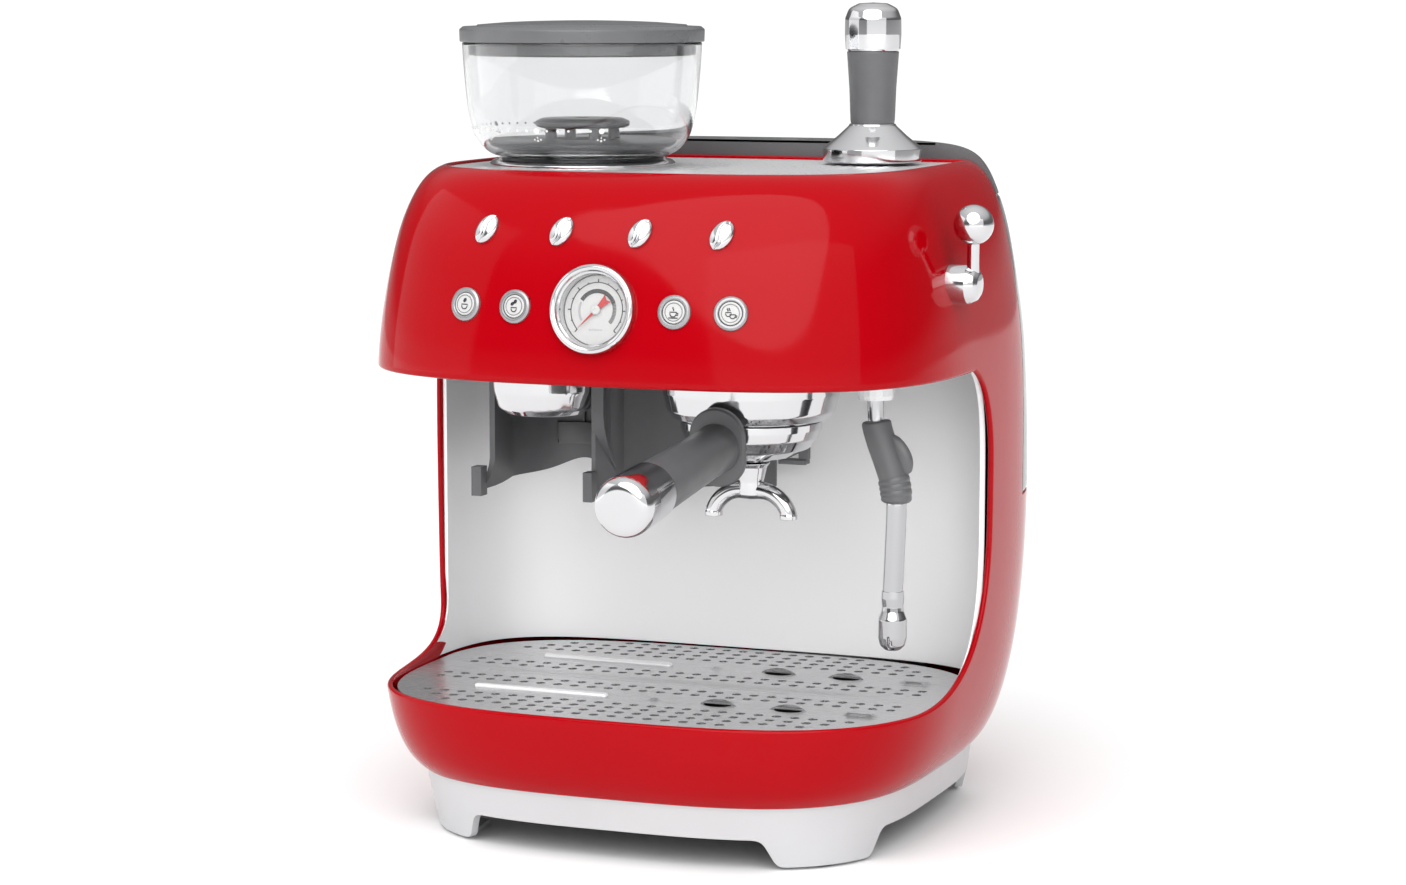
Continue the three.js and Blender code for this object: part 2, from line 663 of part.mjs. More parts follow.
// ---- water, tray and tamper ---------------------------------------------------------------------------
function waterTank() {
  const { bottom, top, wall } = TANK;
  const outer = common(loft(BODY), box(-200, 200, SEAM_Y + 1.2, 250, bottom, top));
  const hollow = common(loft(BODY, wall), box(-200, 200, SEAM_Y + 1.2 + wall, 250, bottom + wall, 400));
  return cut(outer, hollow);
}

function tankLid() {
  const { top, lidRaise, wall } = TANK;
  const lift = (z) => (z > top ? (lidRaise * (z - top)) / (BODY_TOP - top) : 0);
  const raised = BODY.map(([z, ...rest]) => [z + lift(z), ...rest]);
  const outer = common(loft(raised), box(-200, 200, SEAM_Y + 1.2, 250, top + GAP, 400));
  const hollow = common(loft(raised, wall + 1), box(-200, 200, SEAM_Y + 5, 250, 300, 343));
  const grip = (x) => at(new THREE.SphereGeometry(1, 12, 6).scale(13, 7, 4), x, 116, BODY_TOP + lidRaise);
  return cut(outer, hollow, ...[-16, 16].map(grip));
}

function dripTray() {
  const { bottom, rim, wall } = TRAY;
  const outline = (inset) => common(
    prism(bodySection(40, 8 + inset), bottom + 1, rim),
    prism(nichePlan(9 + inset), bottom, rim),
  );
  const flange = common(prism(bodySection(72, 5), rim - 1.6, rim), prism(nichePlan(3), 0, rim));
  const hollow = at(outline(wall), 0, 0, wall);
  return cut(join(outline(0), flange), hollow);
}

function dripGrille() {
  const { rim, grilleTop } = TRAY;
  const bottom = rim + 0.4;
  const plate = common(prism(bodySection(74, 4), bottom, grilleTop), prism(nichePlan(2.2), 0, grilleTop));
  const holes = [];
  for (const y of [-92, -16, 44]) {
    for (let x = -100; x <= 100; x += 25) {
      holes.push(at(rod(3.5, 60, 90, 6), x, y, 0));
    }
  }
  return cut(plate, join(...holes));
}

const tamperPlace = (geometry) => at(geometry, TAMPER.x, TAMPER.y, PLATE.top + GAP);

add('water_tank', waterTank(), SMOKE);
add('tank_lid', tankLid(), GREY);
add('drip_tray', dripTray(), DARK);
add('drip_grille', dripGrille(), STEEL);
add('tamper_base', tamperPlace(turned([
  [0, 0], [25.8, 0], [25.8, 7.2], [24.8, 8.4], [12.2, 19.6], [0, 19.6],
])), CHROME);
add('tamper_handle', tamperPlace(turned([[0, 20], [11.4, 20], [13.4, 57.4], [0, 57.4]])), GREY);
add('tamper_cap', tamperPlace(turned([
  [0, 57.8], [14.5, 57.8], [14.5, 74], [12.6, 79.6], [7, 82.2], [0, TAMPER.height],
])), CHROME);

// ---- works inside -------------------------------------------------------------------------------------
function boiler() {
  const vessel = turned([[0, 250], [38, 250], [38, 306], [28, 318], [0, 320]]);
  return at(vessel, GROUP.x, GROUP.y + 8, 0);
}

function pump() {
  const body = turned([
    [0, -34], [12, -34], [12, -22], [20, -20], [20, 20], [12, 22], [12, 34], [5, 36], [5, 46], [0, 46],
  ], 14);
  return at(body.rotateY(Math.PI / 2), 40, 128, 66);
}

function controlBoard() {
  const board = box(-70, 50, 98, 100, 96, 152);
  const chips = [-52, -20, 14].map((x) => box(x, x + 18, 99.6, 108, 108, 130));
  return join(board, ...chips);
}

function powerInlet() {
  const { x, width, z0, z1, face } = INLET;
  const half = width / 2 - GAP;
  const housing = box(x - half, x + half, 150, face, z0 + GAP, z1 - GAP);
  const socket = box(x - half + 3, x + half - 3, face - 14, face + 5, z0 + 4, z1 - 4);
  const pins = [-7, 0, 7].map((dx) => box(x + dx - 1, x + dx + 1, face - 15, face - 3, 97, 103));
  return join(cut(housing, socket), ...pins);
}

add('boiler', boiler(), COPPER);
add('pump', pump(), STEEL);
add('control_board', controlBoard(), BOARD);
add('power_inlet', powerInlet(), DARK);

export default machine;
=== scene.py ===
# Espresso machine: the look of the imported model. Lengths are in millimetres from the middle of the body's plan on
# the ground, +Z up and -Y to the front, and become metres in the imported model's frame when a piece is made.
import bpy
import bmesh
import math
import numpy as np
from mathutils import Matrix, Vector
from mathutils.geometry import delaunay_2d_cdt


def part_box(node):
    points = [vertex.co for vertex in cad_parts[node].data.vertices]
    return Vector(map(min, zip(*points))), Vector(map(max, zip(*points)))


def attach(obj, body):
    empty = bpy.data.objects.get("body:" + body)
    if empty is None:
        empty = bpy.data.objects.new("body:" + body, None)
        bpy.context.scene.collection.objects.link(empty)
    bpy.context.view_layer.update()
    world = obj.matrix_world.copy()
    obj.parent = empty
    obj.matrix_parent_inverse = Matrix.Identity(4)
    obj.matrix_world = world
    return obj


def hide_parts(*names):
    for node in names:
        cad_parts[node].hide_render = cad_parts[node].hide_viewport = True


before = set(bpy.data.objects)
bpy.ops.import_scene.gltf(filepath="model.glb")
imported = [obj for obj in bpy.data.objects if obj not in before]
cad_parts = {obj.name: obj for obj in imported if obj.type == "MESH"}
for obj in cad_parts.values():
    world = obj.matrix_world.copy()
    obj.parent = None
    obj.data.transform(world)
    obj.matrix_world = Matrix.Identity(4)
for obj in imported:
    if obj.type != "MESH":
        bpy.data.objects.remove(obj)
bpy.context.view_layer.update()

MM = 0.001
SHELL_FRONT = 139.0
shell_low, shell_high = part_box("body_shell")
ORIGIN = np.array([(shell_low.x + shell_high.x) / 2, shell_low.y + SHELL_FRONT * MM, 0.0])


# ---- meshes -------------------------------------------------------------------------------------------------
class Form:
    """Points in millimetres and the faces between them"""

    def __init__(self):
        self.points = []
        self.faces = []
        self.count = 0

    def add(self, points, faces):
        points = np.asarray(points, float).reshape(-1, 3)
        self.points.append(points)
        self.faces.extend([[i + self.count for i in face] for face in faces])
        self.count += len(points)
        return self

    def grid(self, rows, loop=False):
        rows = np.asarray(rows, float)
        n, m = rows.shape[:2]
        faces = []
        for i in range(n - 1):
            for j in range(m if loop else m - 1):
                k = (j + 1) % m
                faces.append((i * m + j, i * m + k, (i + 1) * m + k, (i + 1) * m + j))
        return self.add(rows, faces)

    def cap(self, ring, reverse=False):
        order = list(range(len(ring)))
        return self.add(ring, [order[::-1] if reverse else order])

    def join(self, other):
        return self.add(other.array(), other.faces)

    def array(self):
        return np.concatenate(self.points)

    def move(self, x, y, z):
        self.points = [self.array() + np.array([x, y, z], float)]
        return self

    def turn(self, matrix):
        self.points = [self.array() @ np.asarray(matrix, float).T]
        return self


def piece(name, form, body, material, replaces=(), crease=32, bevel=0.0, weld=0.002):
    mesh = bpy.data.meshes.new(name)
    mesh.from_pydata((form.array() * MM + ORIGIN).tolist(), [], form.faces)
    work = bmesh.new()
    work.from_mesh(mesh)
    bmesh.ops.remove_doubles(work, verts=work.verts, dist=weld * MM)
    bmesh.ops.dissolve_degenerate(work, edges=work.edges, dist=0.0005 * MM)
    bmesh.ops.recalc_face_normals(work, faces=work.faces)
    work.to_mesh(mesh)
    work.free()
    mesh.shade_smooth()
    mesh.set_sharp_from_angle(angle=math.radians(crease))
    made = bpy.data.objects.new(name, mesh)
    bpy.context.scene.collection.objects.link(made)
    made.data.materials.append(material)
    if bevel:
        modifier = made.modifiers.new("Bevel", "BEVEL")
        modifier.width = bevel * MM
        modifier.segments = 3
        modifier.limit_method = "ANGLE"
        modifier.angle_limit = math.radians(40)
        modifier.harden_normals = True
    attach(made, body)
    if replaces:
        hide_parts(*replaces)
    return made


def rounded(profile, steps=5):
    """A line of (a, b) points where a third number is the radius of the fillet at that corner"""
    out = []
    for i, point in enumerate(profile):
        here = np.array(point[:2], float)
        radius = point[2] if len(point) > 2 else 0
        if not radius or i in (0, len(profile) - 1):
            out.append(here)
            continue
        before = np.array(profile[i - 1][:2], float) - here
        after = np.array(profile[i + 1][:2], float) - here
        lengths = np.linalg.norm(before), np.linalg.norm(after)
        before, after = before / lengths[0], after / lengths[1]
        half = math.acos(np.clip(before @ after, -1, 1)) / 2
        reach = min(radius / math.tan(half), lengths[0] * 0.49, lengths[1] * 0.49)
        for t in np.linspace(0, 1, steps + 1):
            out.append(here + before * reach * (1 - t) ** 2 + after * reach * t ** 2)
    return np.array(out)


def smooth_line(points, count):
    """Catmull-Rom through the points, evenly spaced along its length"""
    p = np.asarray(points, float)
    p = np.vstack([2 * p[0] - p[1], p, 2 * p[-1] - p[-2]])
    dense = []
    for i in range(1, len(p) - 2):
        for t in np.linspace(0, 1, 24, endpoint=False):
            a, b, c, d = p[i - 1], p[i], p[i + 1], p[i + 2]
            dense.append(0.5 * (2 * b + (c - a) * t + (2 * a - 5 * b + 4 * c - d) * t**2
                                + (3 * b - a - 3 * c + d) * t**3))
    dense.append(p[-2])
    return resample(np.array(dense), count)


def resample(line, count):
    line = np.asarray(line, float)
    steps = np.linalg.norm(np.diff(line, axis=0), axis=1)
    along = np.concatenate([[0], np.cumsum(steps)])
    wanted = np.linspace(0, along[-1], count)
    return np.stack([np.interp(wanted, along, line[:, k]) for k in range(line.shape[1])], 1)


def lathe(profile, sides=96, arc=(0, 360)):
    profile = np.asarray(profile, float)
    whole = abs(arc[1] - arc[0]) >= 360
    angles = np.radians(np.linspace(arc[0], arc[1], sides, endpoint=not whole))
    rows = [[(r * math.cos(a), r * math.sin(a), z) for a in angles] for r, z in profile]
    return Form().grid(rows, loop=whole)


def sweep(path, radii, sides=28):
    """A round bar along a path; radii is one number or one for each point"""
    path = np.asarray(path, float)
    radii = np.broadcast_to(np.asarray(radii, float), len(path))
    tangents = np.gradient(path, axis=0)
    tangents /= np.linalg.norm(tangents, axis=1)[:, None]
    side = np.cross(tangents[0], [0, 1, 0] if abs(tangents[0][1]) < 0.8 else [1, 0, 0])
    side /= np.linalg.norm(side)
    rows = []
    angles = np.linspace(0, 2 * math.pi, sides, endpoint=False)
    for point, tangent, radius in zip(path, tangents, radii):
        side = side - tangent * (side @ tangent)
        side /= np.linalg.norm(side)
        other = np.cross(tangent, side)
        rows.append([point + radius * (math.cos(a) * side + math.sin(a) * other) for a in angles])
    return Form().grid(rows, loop=True).cap(rows[0]).cap(rows[-1], True)


def slab(rows, offset):
    """A sheet with thickness: the grid, the same grid moved by offset (one vector or one a point), and its edges"""
    rows = np.asarray(rows, float)
    other = rows + offset
    form = Form().grid(rows).grid(other[::-1]).grid([rows[0], other[0]]).grid([other[-1], rows[-1]])
    return form.grid([other[:, 0], rows[:, 0]]).grid([rows[:, -1], other[:, -1]])


def bar(x0, x1, y0, y1, z0, z1):
    corners = [(x, y, z) for z in (z0, z1) for x, y in ((x0, y0), (x1, y0), (x1, y1), (x0, y1))]
    faces = [(3, 2, 1, 0), (4, 5, 6, 7), (0, 1, 5, 4), (1, 2, 6, 5), (2, 3, 7, 6), (3, 0, 4, 7)]
    return Form().add(corners, faces)


def circle(x, y, radius, count):
    angles = np.linspace(0, 2 * math.pi, count, endpoint=False)
    return np.stack([x + radius * np.cos(angles), y + radius * np.sin(angles)], 1)


def inside(points, loop):
    """Which of the points are inside a closed loop in the plane"""
    points, loop = np.asarray(points), np.asarray(loop)
    x, y = points[:, 0], points[:, 1]
    result = np.zeros(len(points), bool)
    x0, y0 = loop[-1]
    for x1, y1 in loop:
        crosses = (y1 > y) != (y0 > y)
        with np.errstate(divide="ignore", invalid="ignore"):
            result ^= crosses & (x < (x0 - x1) * (y - y1) / (y0 - y1) + x1)
        x0, y0 = x1, y1
    return result


def pierced_plate(outer, holes, creases, pitch, height, thickness):
    """A plate cut from a sheet: outer and holes are loops, creases are loops or lines that the mesh follows, and
    height(x, y) lifts the surface"""
    low, high = outer.min(0), outer.max(0)
    xs = np.arange(low[0] + pitch / 2, high[0], pitch)
    ys = np.arange(low[1] + pitch / 2, high[1], pitch)
    grid = np.stack(np.meshgrid(xs, ys), -1).reshape(-1, 2)
    grid = grid[inside(grid, outer)]
    loops = [outer] + list(holes)
    clear = np.ones(len(grid), bool)
    for loop in loops + list(creases):
        centre, reach = loop.mean(0), np.abs(loop - loop.mean(0)).max() + pitch
        near = np.flatnonzero((np.abs(grid - centre) < reach).all(1))
        if len(near):
            gap = np.linalg.norm(grid[near][:, None] - loop[None], axis=2).min(1)
            clear[near[gap < pitch * 0.45]] = False
    for loop in holes:
        near = np.flatnonzero((np.abs(grid - loop.mean(0)) < np.abs(loop - loop.mean(0)).max()).all(1))
        if len(near):
            clear[near[inside(grid[near], loop)]] = False
    grid = grid[clear]
    points, edges = [tuple(p) for p in grid], []
    for loop in loops + list(creases):
        start = len(points)
        points.extend(tuple(p) for p in loop)
        count = len(loop)
        edges.extend((start + i, start + (i + 1) % count) for i in range(count))
    result = delaunay_2d_cdt([Vector(p) for p in points], edges, [], 0, 1e-5)
    flat = np.array([tuple(v) for v in result[0]])
    triangles = np.array([tuple(f) for f in result[2]])
    middles = flat[triangles].mean(1)
    keep = inside(middles, outer)
    for loop in holes:
        near = np.flatnonzero((np.abs(middles - loop.mean(0)) < np.abs(loop - loop.mean(0)).max()).all(1))
        if len(near):
            keep[near[inside(middles[near], loop)]] = False
    triangles = triangles[keep]
    turn = np.cross(flat[triangles[:, 1]] - flat[triangles[:, 0]], flat[triangles[:, 2]] - flat[triangles[:, 0]])
    triangles[turn < 0] = triangles[turn < 0][:, ::-1]
    top = np.column_stack([flat, height(flat[:, 0], flat[:, 1])])
    count = len(top)
    sides = {}
    for a, b, c in triangles.tolist():
        for edge in ((a, b), (b, c), (c, a)):
            sides[edge] = True
    border = [edge for edge in sides if (edge[1], edge[0]) not in sides]
    faces = triangles.tolist() + (triangles[:, ::-1] + count).tolist()
    faces += [(a, a + count, b + count, b) for a, b in border]
    return Form().add(np.vstack([top, top - [0, 0, thickness]]), faces)


PRINT_TOP, PRINT_DEPTH = 0.12, 0.08


def ribbon(points, width, closed=False):
    """A flat printed line in the XY plane"""
    p = np.asarray(points, float)
    if closed:
        p = np.vstack([p, p[0]])
    tangents = np.gradient(p, axis=0)
    if closed:
        tangents[0] = tangents[-1] = (p[1] - p[-2])
    tangents /= np.maximum(np.linalg.norm(tangents, axis=1), 1e-9)[:, None]
    normal = np.stack([-tangents[:, 1], tangents[:, 0]], 1) * width / 2
    left = np.column_stack([p + normal, np.full(len(p), PRINT_TOP)])
    right = np.column_stack([p - normal, np.full(len(p), PRINT_TOP)])
    return slab(np.array([left, right]), np.array([0, 0, -PRINT_DEPTH]))


# ---- the body's form ----------------------------------------------------------------------------------------
# Sections of the body: height, half width, depth in front, depth behind, exponent behind
BODY = np.array([
    [34, 133, 124, 146, 3.2], [40, 140, 129, 151, 3.2], [54, 146.5, 134, 160, 3.2], [77, 151, 137.5, 172, 3.3],
    [105, 152.5, 138.5, 177, 3.6], [145, 153, 139, 178, 4], [190, 153.5, 139, 177, 4], [241, 153.5, 139, 168, 4],
    [270, 150.5, 137, 165, 4], [305, 144.5, 129.5, 162.5, 4], [322, 139.5, 122.5, 161, 4], [335, 133.5, 115, 157.5, 4],
    [342, 127, 106.5, 151, 4], [345, 118, 97, 141, 4], [346, 108, 88, 128, 4],
])
FRONT_EXPONENT = 3.2
BASE_TOP, HEAD_BOTTOM, BODY_TOP = 74.4, 242.5, 346.0
SEAM, SHELF, SHELL_TOP = 90.0, 165.0, 343.2
PANEL_Z = 278.5
RIM, RIM_STEPS, SPLINE_STEPS, OUTLINE_STEPS, NORMAL_STEP = 1.5, 8, 60, 400, 0.4
# Where the bay meets the body on each side: y at the sill and y at the head
SILL_FRONT, HEAD_SIDE = -75, -2


def spline_table(points):
    """Cubic B-spline near the sections, held at both ends"""
    p = np.vstack([points[0], points[0], points, points[-1], points[-1]])
    t = np.linspace(0, 1, SPLINE_STEPS, endpoint=False)[:, None]
    out = []
    for i in range(len(p) - 3):
        a, b, c, d = p[i:i + 4]
        out.append(((1 - t) ** 3 * a + (3 * t**3 - 6 * t**2 + 4) * b + (-3 * t**3 + 3 * t**2 + 3 * t + 1) * c
                    + t**3 * d) / 6)
    out.append(points[-1:])
    return np.vstack(out)


BODY_TABLE = spline_table(BODY)


def section(z, table=BODY_TABLE):
    return [float(np.interp(z, table[:, 0], table[:, k])) for k in range(1, 5)]


def outline(z, angles, inset=0.0, table=BODY_TABLE):
    width, front, back, exponent = section(z, table)
    angles = np.asarray(angles, float)
    sine, cosine = np.sin(angles), np.cos(angles)
    power = np.where(sine > 0, 2 / exponent, 2 / FRONT_EXPONENT)
    depth = np.where(sine > 0, back, front) - inset
    x = (width - inset) * np.sign(cosine) * np.abs(cosine) ** power
    y = depth * np.sign(sine) * np.abs(sine) ** power
    return np.stack([x, y, np.full_like(x, z)], -1)


def angle_at(y, z, table=BODY_TABLE):
    """The outline's parameter on the right side, where it is at this y"""
    _, front, back, exponent = section(z, table)
    if y > 0:
        return math.asin(min(1, y / back) ** (exponent / 2))
    return -math.asin(min(1, -y / front) ** (FRONT_EXPONENT / 2))


def arc(z, start, end, count, inset=0.0, table=BODY_TABLE):
    fine = outline(z, np.linspace(start, end, OUTLINE_STEPS), inset, table)
    return resample(fine, count)


def body_value(p):
    """Below 1 inside the body's outline at the point's height, above 1 outside it"""
    width, front, back, exponent = (np.interp(p[..., 2], BODY_TABLE[:, 0], BODY_TABLE[:, k]) for k in range(1, 5))
    x, y = np.abs(p[..., 0]), p[..., 1]
    power = np.where(y > 0, exponent, FRONT_EXPONENT)
    depth = np.where(y > 0, back, front)
    return (x / width) ** power + (np.abs(y) / depth) ** power


def body_normal(points):
    p = np.asarray(points, float)
    parts = []
    for axis in range(3):
        move = np.zeros(3)
        move[axis] = NORMAL_STEP
        parts.append(body_value(p + move) - body_value(p - move))
    normal = np.stack(parts, -1)
    return normal / np.linalg.norm(normal, axis=-1, keepdims=True)


def bezier(a, b, c, d, count):
    t = np.linspace(0, 1, count)[:, None]
    a, b, c, d = (np.array(v, float) for v in (a, b, c, d))
    return (1 - t) ** 3 * a + 3 * t * (1 - t) ** 2 * b + 3 * t * t * (1 - t) * c + t**3 * d


# The edge of the open bay in the side view, as (y, z) from the base up to the head
BAY_EDGE = np.vstack([
    bezier((-75, BASE_TOP), (-5, BASE_TOP), (28, 105), (28, 160), 40),
    bezier((28, 160), (28, 170), (28, 180), (28, 190), 7)[1:],
    bezier((28, 190), (28, 215), (18, 235), (-2, HEAD_BOTTOM), 26)[1:],
])

# The left window's edge, which stands further forward and is nearly straight
BAY_EDGE_LEFT = np.vstack([
    bezier((-75, BASE_TOP), (-22, BASE_TOP), (7, 79), (7, 104), 40),
    bezier((7, 104), (7, 150), (7, 190), (7, 229), 16)[1:],
    bezier((7, 229), (7, 237), (4, HEAD_BOTTOM), (-2, HEAD_BOTTOM), 12)[1:],
])


def edge_y(edge, z):
    return float(np.interp(z, edge[:, 1], edge[:, 0]))


SIDE_COUNT, SEAM_COUNT, BACK_COUNT, FRONT_COUNT = 64, 5, 130, 190
STRIP_Y = 84.0


def right_side(z, y_edge):
    first = arc(z, angle_at(y_edge, z), angle_at(STRIP_Y, z), SIDE_COUNT)
    last = arc(z, angle_at(STRIP_Y, z), angle_at(SEAM, z), SEAM_COUNT)
    return np.vstack([first, last[1:]])


def mirrored(points):
    return (np.asarray(points) * [-1, 1, 1])[::-1]


def front_arc(z, y_edge):
    a = angle_at(y_edge, z)
    return arc(z, math.pi - a, 2 * math.pi + a, FRONT_COUNT)


def back_arc(z):
    a = angle_at(SEAM, z)
    return arc(z, a, math.pi - a, BACK_COUNT)


def rim(form, line, normals, towards, closed=False, radius=RIM, tail=8.0, turn=math.pi):
    """Rounds an edge of a sheet over to its inner face. towards points away from the sheet, along its surface"""
    line, normals, towards = (np.asarray(v, float) for v in (line, normals, towards))
    rows = []
    for t in np.linspace(0, turn, RIM_STEPS + 1):
        rows.append(line + towards * radius * math.sin(t) - normals * radius * (1 - math.cos(t)))
    if turn > 2:
        rows.append(rows[-1] - towards * tail)
    else:
        rows.append(rows[-1] - normals * tail)
    return form.grid(rows, loop=closed)


def edge_directions(line, normals, hint, closed=False):
    """The direction in the sheet's surface that leaves it across its edge, on the side that hint points to"""
    line = np.asarray(line, float)
    if closed:
        tangents = np.roll(line, -1, 0) - np.roll(line, 1, 0)
    else:
        tangents = np.gradient(line, axis=0)
    away = np.cross(tangents, normals)
    away /= np.linalg.norm(away, axis=1)[:, None]
    sign = np.sign((away * hint).sum(1))
    return away * np.where(sign == 0, 1, sign)[:, None]


def body_shell():
    form = Form()
    base_rows = np.unique(np.concatenate([np.linspace(34, 44, 9), np.linspace(44, BASE_TOP, 16)]))
    for make in (lambda z: right_side(z, SILL_FRONT), back_arc, lambda z: mirrored(right_side(z, SILL_FRONT)),
                 lambda z: front_arc(z, SILL_FRONT)):
        form.grid([make(z) for z in base_rows])
    heights = np.unique(np.concatenate([BAY_EDGE[:, 1], BAY_EDGE_LEFT[:, 1], [SHELF]]))
    low, high = heights[heights <= SHELF], heights[heights >= SHELF]
    for part in (low, high):
        form.grid([right_side(z, edge_y(BAY_EDGE, z)) for z in part])
        form.grid([mirrored(right_side(z, edge_y(BAY_EDGE_LEFT, z))) for z in part])
    form.grid([back_arc(z) for z in low])
    table = BODY_TABLE[BODY_TABLE[:, 0] >= HEAD_BOTTOM]
    head_rows = resample(np.column_stack([table[:, 1], table[:, 0]]), 90)[:, 1]
    head_rows = np.append(head_rows[head_rows < SHELL_TOP - 0.05], SHELL_TOP)
    head_rows[0] = HEAD_BOTTOM
    form.grid([right_side(z, HEAD_SIDE) for z in head_rows])
    form.grid([mirrored(right_side(z, HEAD_SIDE)) for z in head_rows])
    form.grid([front_arc(z, HEAD_SIDE) for z in head_rows])
    corner = right_side(SHELL_TOP, HEAD_SIDE)[SIDE_COUNT - 1:]
    strip = [resample([p, p * [-1, 1, 1]], 60) for p in corner]
    form.grid(strip)

    # The bay's edge: up the right window, round the head, down the left window, round the base
    right = np.array([outline(z, angle_at(edge_y(BAY_EDGE, z), z)) for z in heights])
    head = front_arc(HEAD_BOTTOM, HEAD_SIDE)[::-1]
    base = front_arc(BASE_TOP, SILL_FRONT)
    left = np.array([outline(z, angle_at(edge_y(BAY_EDGE_LEFT, z), z)) for z in heights[::-1]]) * [-1, 1, 1]
    loop = np.vstack([right, head[1:], left[1:], base[1:-1]])
    normals = body_normal(loop)
    centre = np.array([0, -60, 150.0])
    hint = centre - loop
    hint[:, 0] = 0
    hint[len(right):len(right) + len(head) - 1] = [0, 0, -1]
    hint[len(loop) - len(base) + 2:] = [0, 0, 1]
    rim(form, loop, normals, edge_directions(loop, normals, hint, True), True)

    # The underside, the seam to the tank, and the step under it
    bottom = arc(34, 0, 2 * math.pi, 300)[:-1]
    normals = body_normal(bottom + [0, 0, 1])
    rim(form, bottom, normals, edge_directions(bottom, normals, [0, 0, -1], True), True)
    seam_rows = list(high) + list(head_rows[1:])
    seam = np.array([outline(z, angle_at(SEAM, z)) for z in seam_rows])
    normals = body_normal(seam)
    for line, facing in ((seam, normals), (seam * [-1, 1, 1], normals * [-1, 1, 1])):
        rim(form, line, facing, edge_directions(line, facing, [0, 1, 0]))
    top = strip[-1]
    rim(form, top, np.tile([0, 0, 1.0], (len(top), 1)), np.tile([0, 1.0, 0], (len(top), 1)))
    shelf = back_arc(SHELF)
    normals = body_normal(shelf)
    rim(form, shelf, normals, edge_directions(shelf, normals, [0, 0, 1]))

    # The recess that holds the top plate
    side = right_side(SHELL_TOP, HEAD_SIDE)[:SIDE_COUNT]
    front = front_arc(SHELL_TOP, HEAD_SIDE)[::-1]
    recess = np.vstack([side[::-1], front[1:], (side * [-1, 1, 1])[1:], strip[0][::-1][1:-1]])
    up = np.tile([0, 0, 1.0], (len(recess), 1))
    hint = np.array([0, 0, SHELL_TOP]) - recess
    away = edge_directions(recess, up, hint, True)
    rim(form, recess, up, away, True, radius=1.2, tail=4.0, turn=math.pi / 2)
    return form


# ---- niche, plinth, tank -----------------------------------------------------------------------------------
NICHE_Y, NICHE_WIDTH, NICHE_DEPTH, NICHE_EXPONENT = -29.0, 148.4, 107.2, 4.5


def niche_angle(y_edge, inset):
    ratio = (y_edge - NICHE_Y) / (NICHE_DEPTH - inset)
    return math.asin(min(1, abs(ratio)) ** (NICHE_EXPONENT / 2)) * (1 if ratio > 0 else -1)


def niche_arc(y_right, y_left, count, inset=0.0):
    power = 2 / NICHE_EXPONENT
    angles = np.linspace(niche_angle(y_right, inset), math.pi - niche_angle(y_left, inset), 500)
    x = (NICHE_WIDTH - inset) * np.sign(np.cos(angles)) * np.abs(np.cos(angles)) ** power
    y = NICHE_Y + (NICHE_DEPTH - inset) * np.sign(np.sin(angles)) * np.abs(np.sin(angles)) ** power
    return resample(np.stack([x, y], 1), count)


PANEL_COUNT, PANEL_LOW, PANEL_HIGH, PANEL_FRONT = 240, 74.6, 240.4, -34.0
# The lip at the panel's ends narrows towards the sill, so that it stays behind the shell
FLANGE, FLANGE_Z, FLANGE_FADE, FLANGE_LEAST = 1.6, 102, 16, 0.06


def splash_panel():
    heights = np.unique(np.concatenate([BAY_EDGE[:, 1], BAY_EDGE_LEFT[:, 1], [PANEL_LOW, PANEL_HIGH]]))
    rows, outer = [], []
    for z in heights[(heights >= PANEL_LOW) & (heights <= PANEL_HIGH)]:
        ends = [max(edge_y(edge, z), PANEL_FRONT) for edge in (BAY_EDGE, BAY_EDGE_LEFT)]
        for line, inset, back in ((rows, 0.4, 0.0), (outer, -0.5, 0.9)):
            plan = niche_arc(*ends, PANEL_COUNT, inset)
            reach = FLANGE * float(np.clip((z - FLANGE_Z) / FLANGE_FADE, FLANGE_LEAST, 1))
            lips = plan[[0, -1]] + [[reach, back], [-reach, back]]
            plan = np.vstack([lips[:1], plan, lips[1:]])
            line.append(np.column_stack([plan, np.full(len(plan), z)]))
    return slab(rows, np.array(outer) - np.array(rows))


PLINTH = np.array([[1.6, 126, 113, 143, 3.6], [17, 128.6, 118, 145, 3.6], [33.8, 131, 122, 146, 3.6]])
PLINTH_TABLE = np.array([[z] + [float(np.interp(z, PLINTH[:, 0], PLINTH[:, k])) for k in range(1, 5)]
                         for z in np.linspace(1.6, 33.8, 40)])
BAND_Z, SOLE_Z, ARCH_FRONT, ARCH_SIDE, ARCH_MIDDLE = 16.5, 1.6, 82.0, 81.0, 17.0


def plinth_lower_edge(x, y):
    """Height of the plinth's lower edge: high under its arches, and down to the ground at its feet"""
    on_side = abs(x) / 122 > abs(y - ARCH_MIDDLE) / 127
    past = abs(y - ARCH_MIDDLE) - ARCH_SIDE if on_side else abs(x) - ARCH_FRONT
    return float(np.interp(past, [-9, -6.2, -4.2, -2.6, 1.8, 3.2, 5.2, 8],
                           [BAND_Z, 16.1, 15, 13, 4.4, 2.7, SOLE_Z + 0.2, SOLE_Z]))


PLINTH_COUNT, PLINTH_STEPS, PLINTH_WALL, PLINTH_TOP = 900, 14, 4.0, 33.8


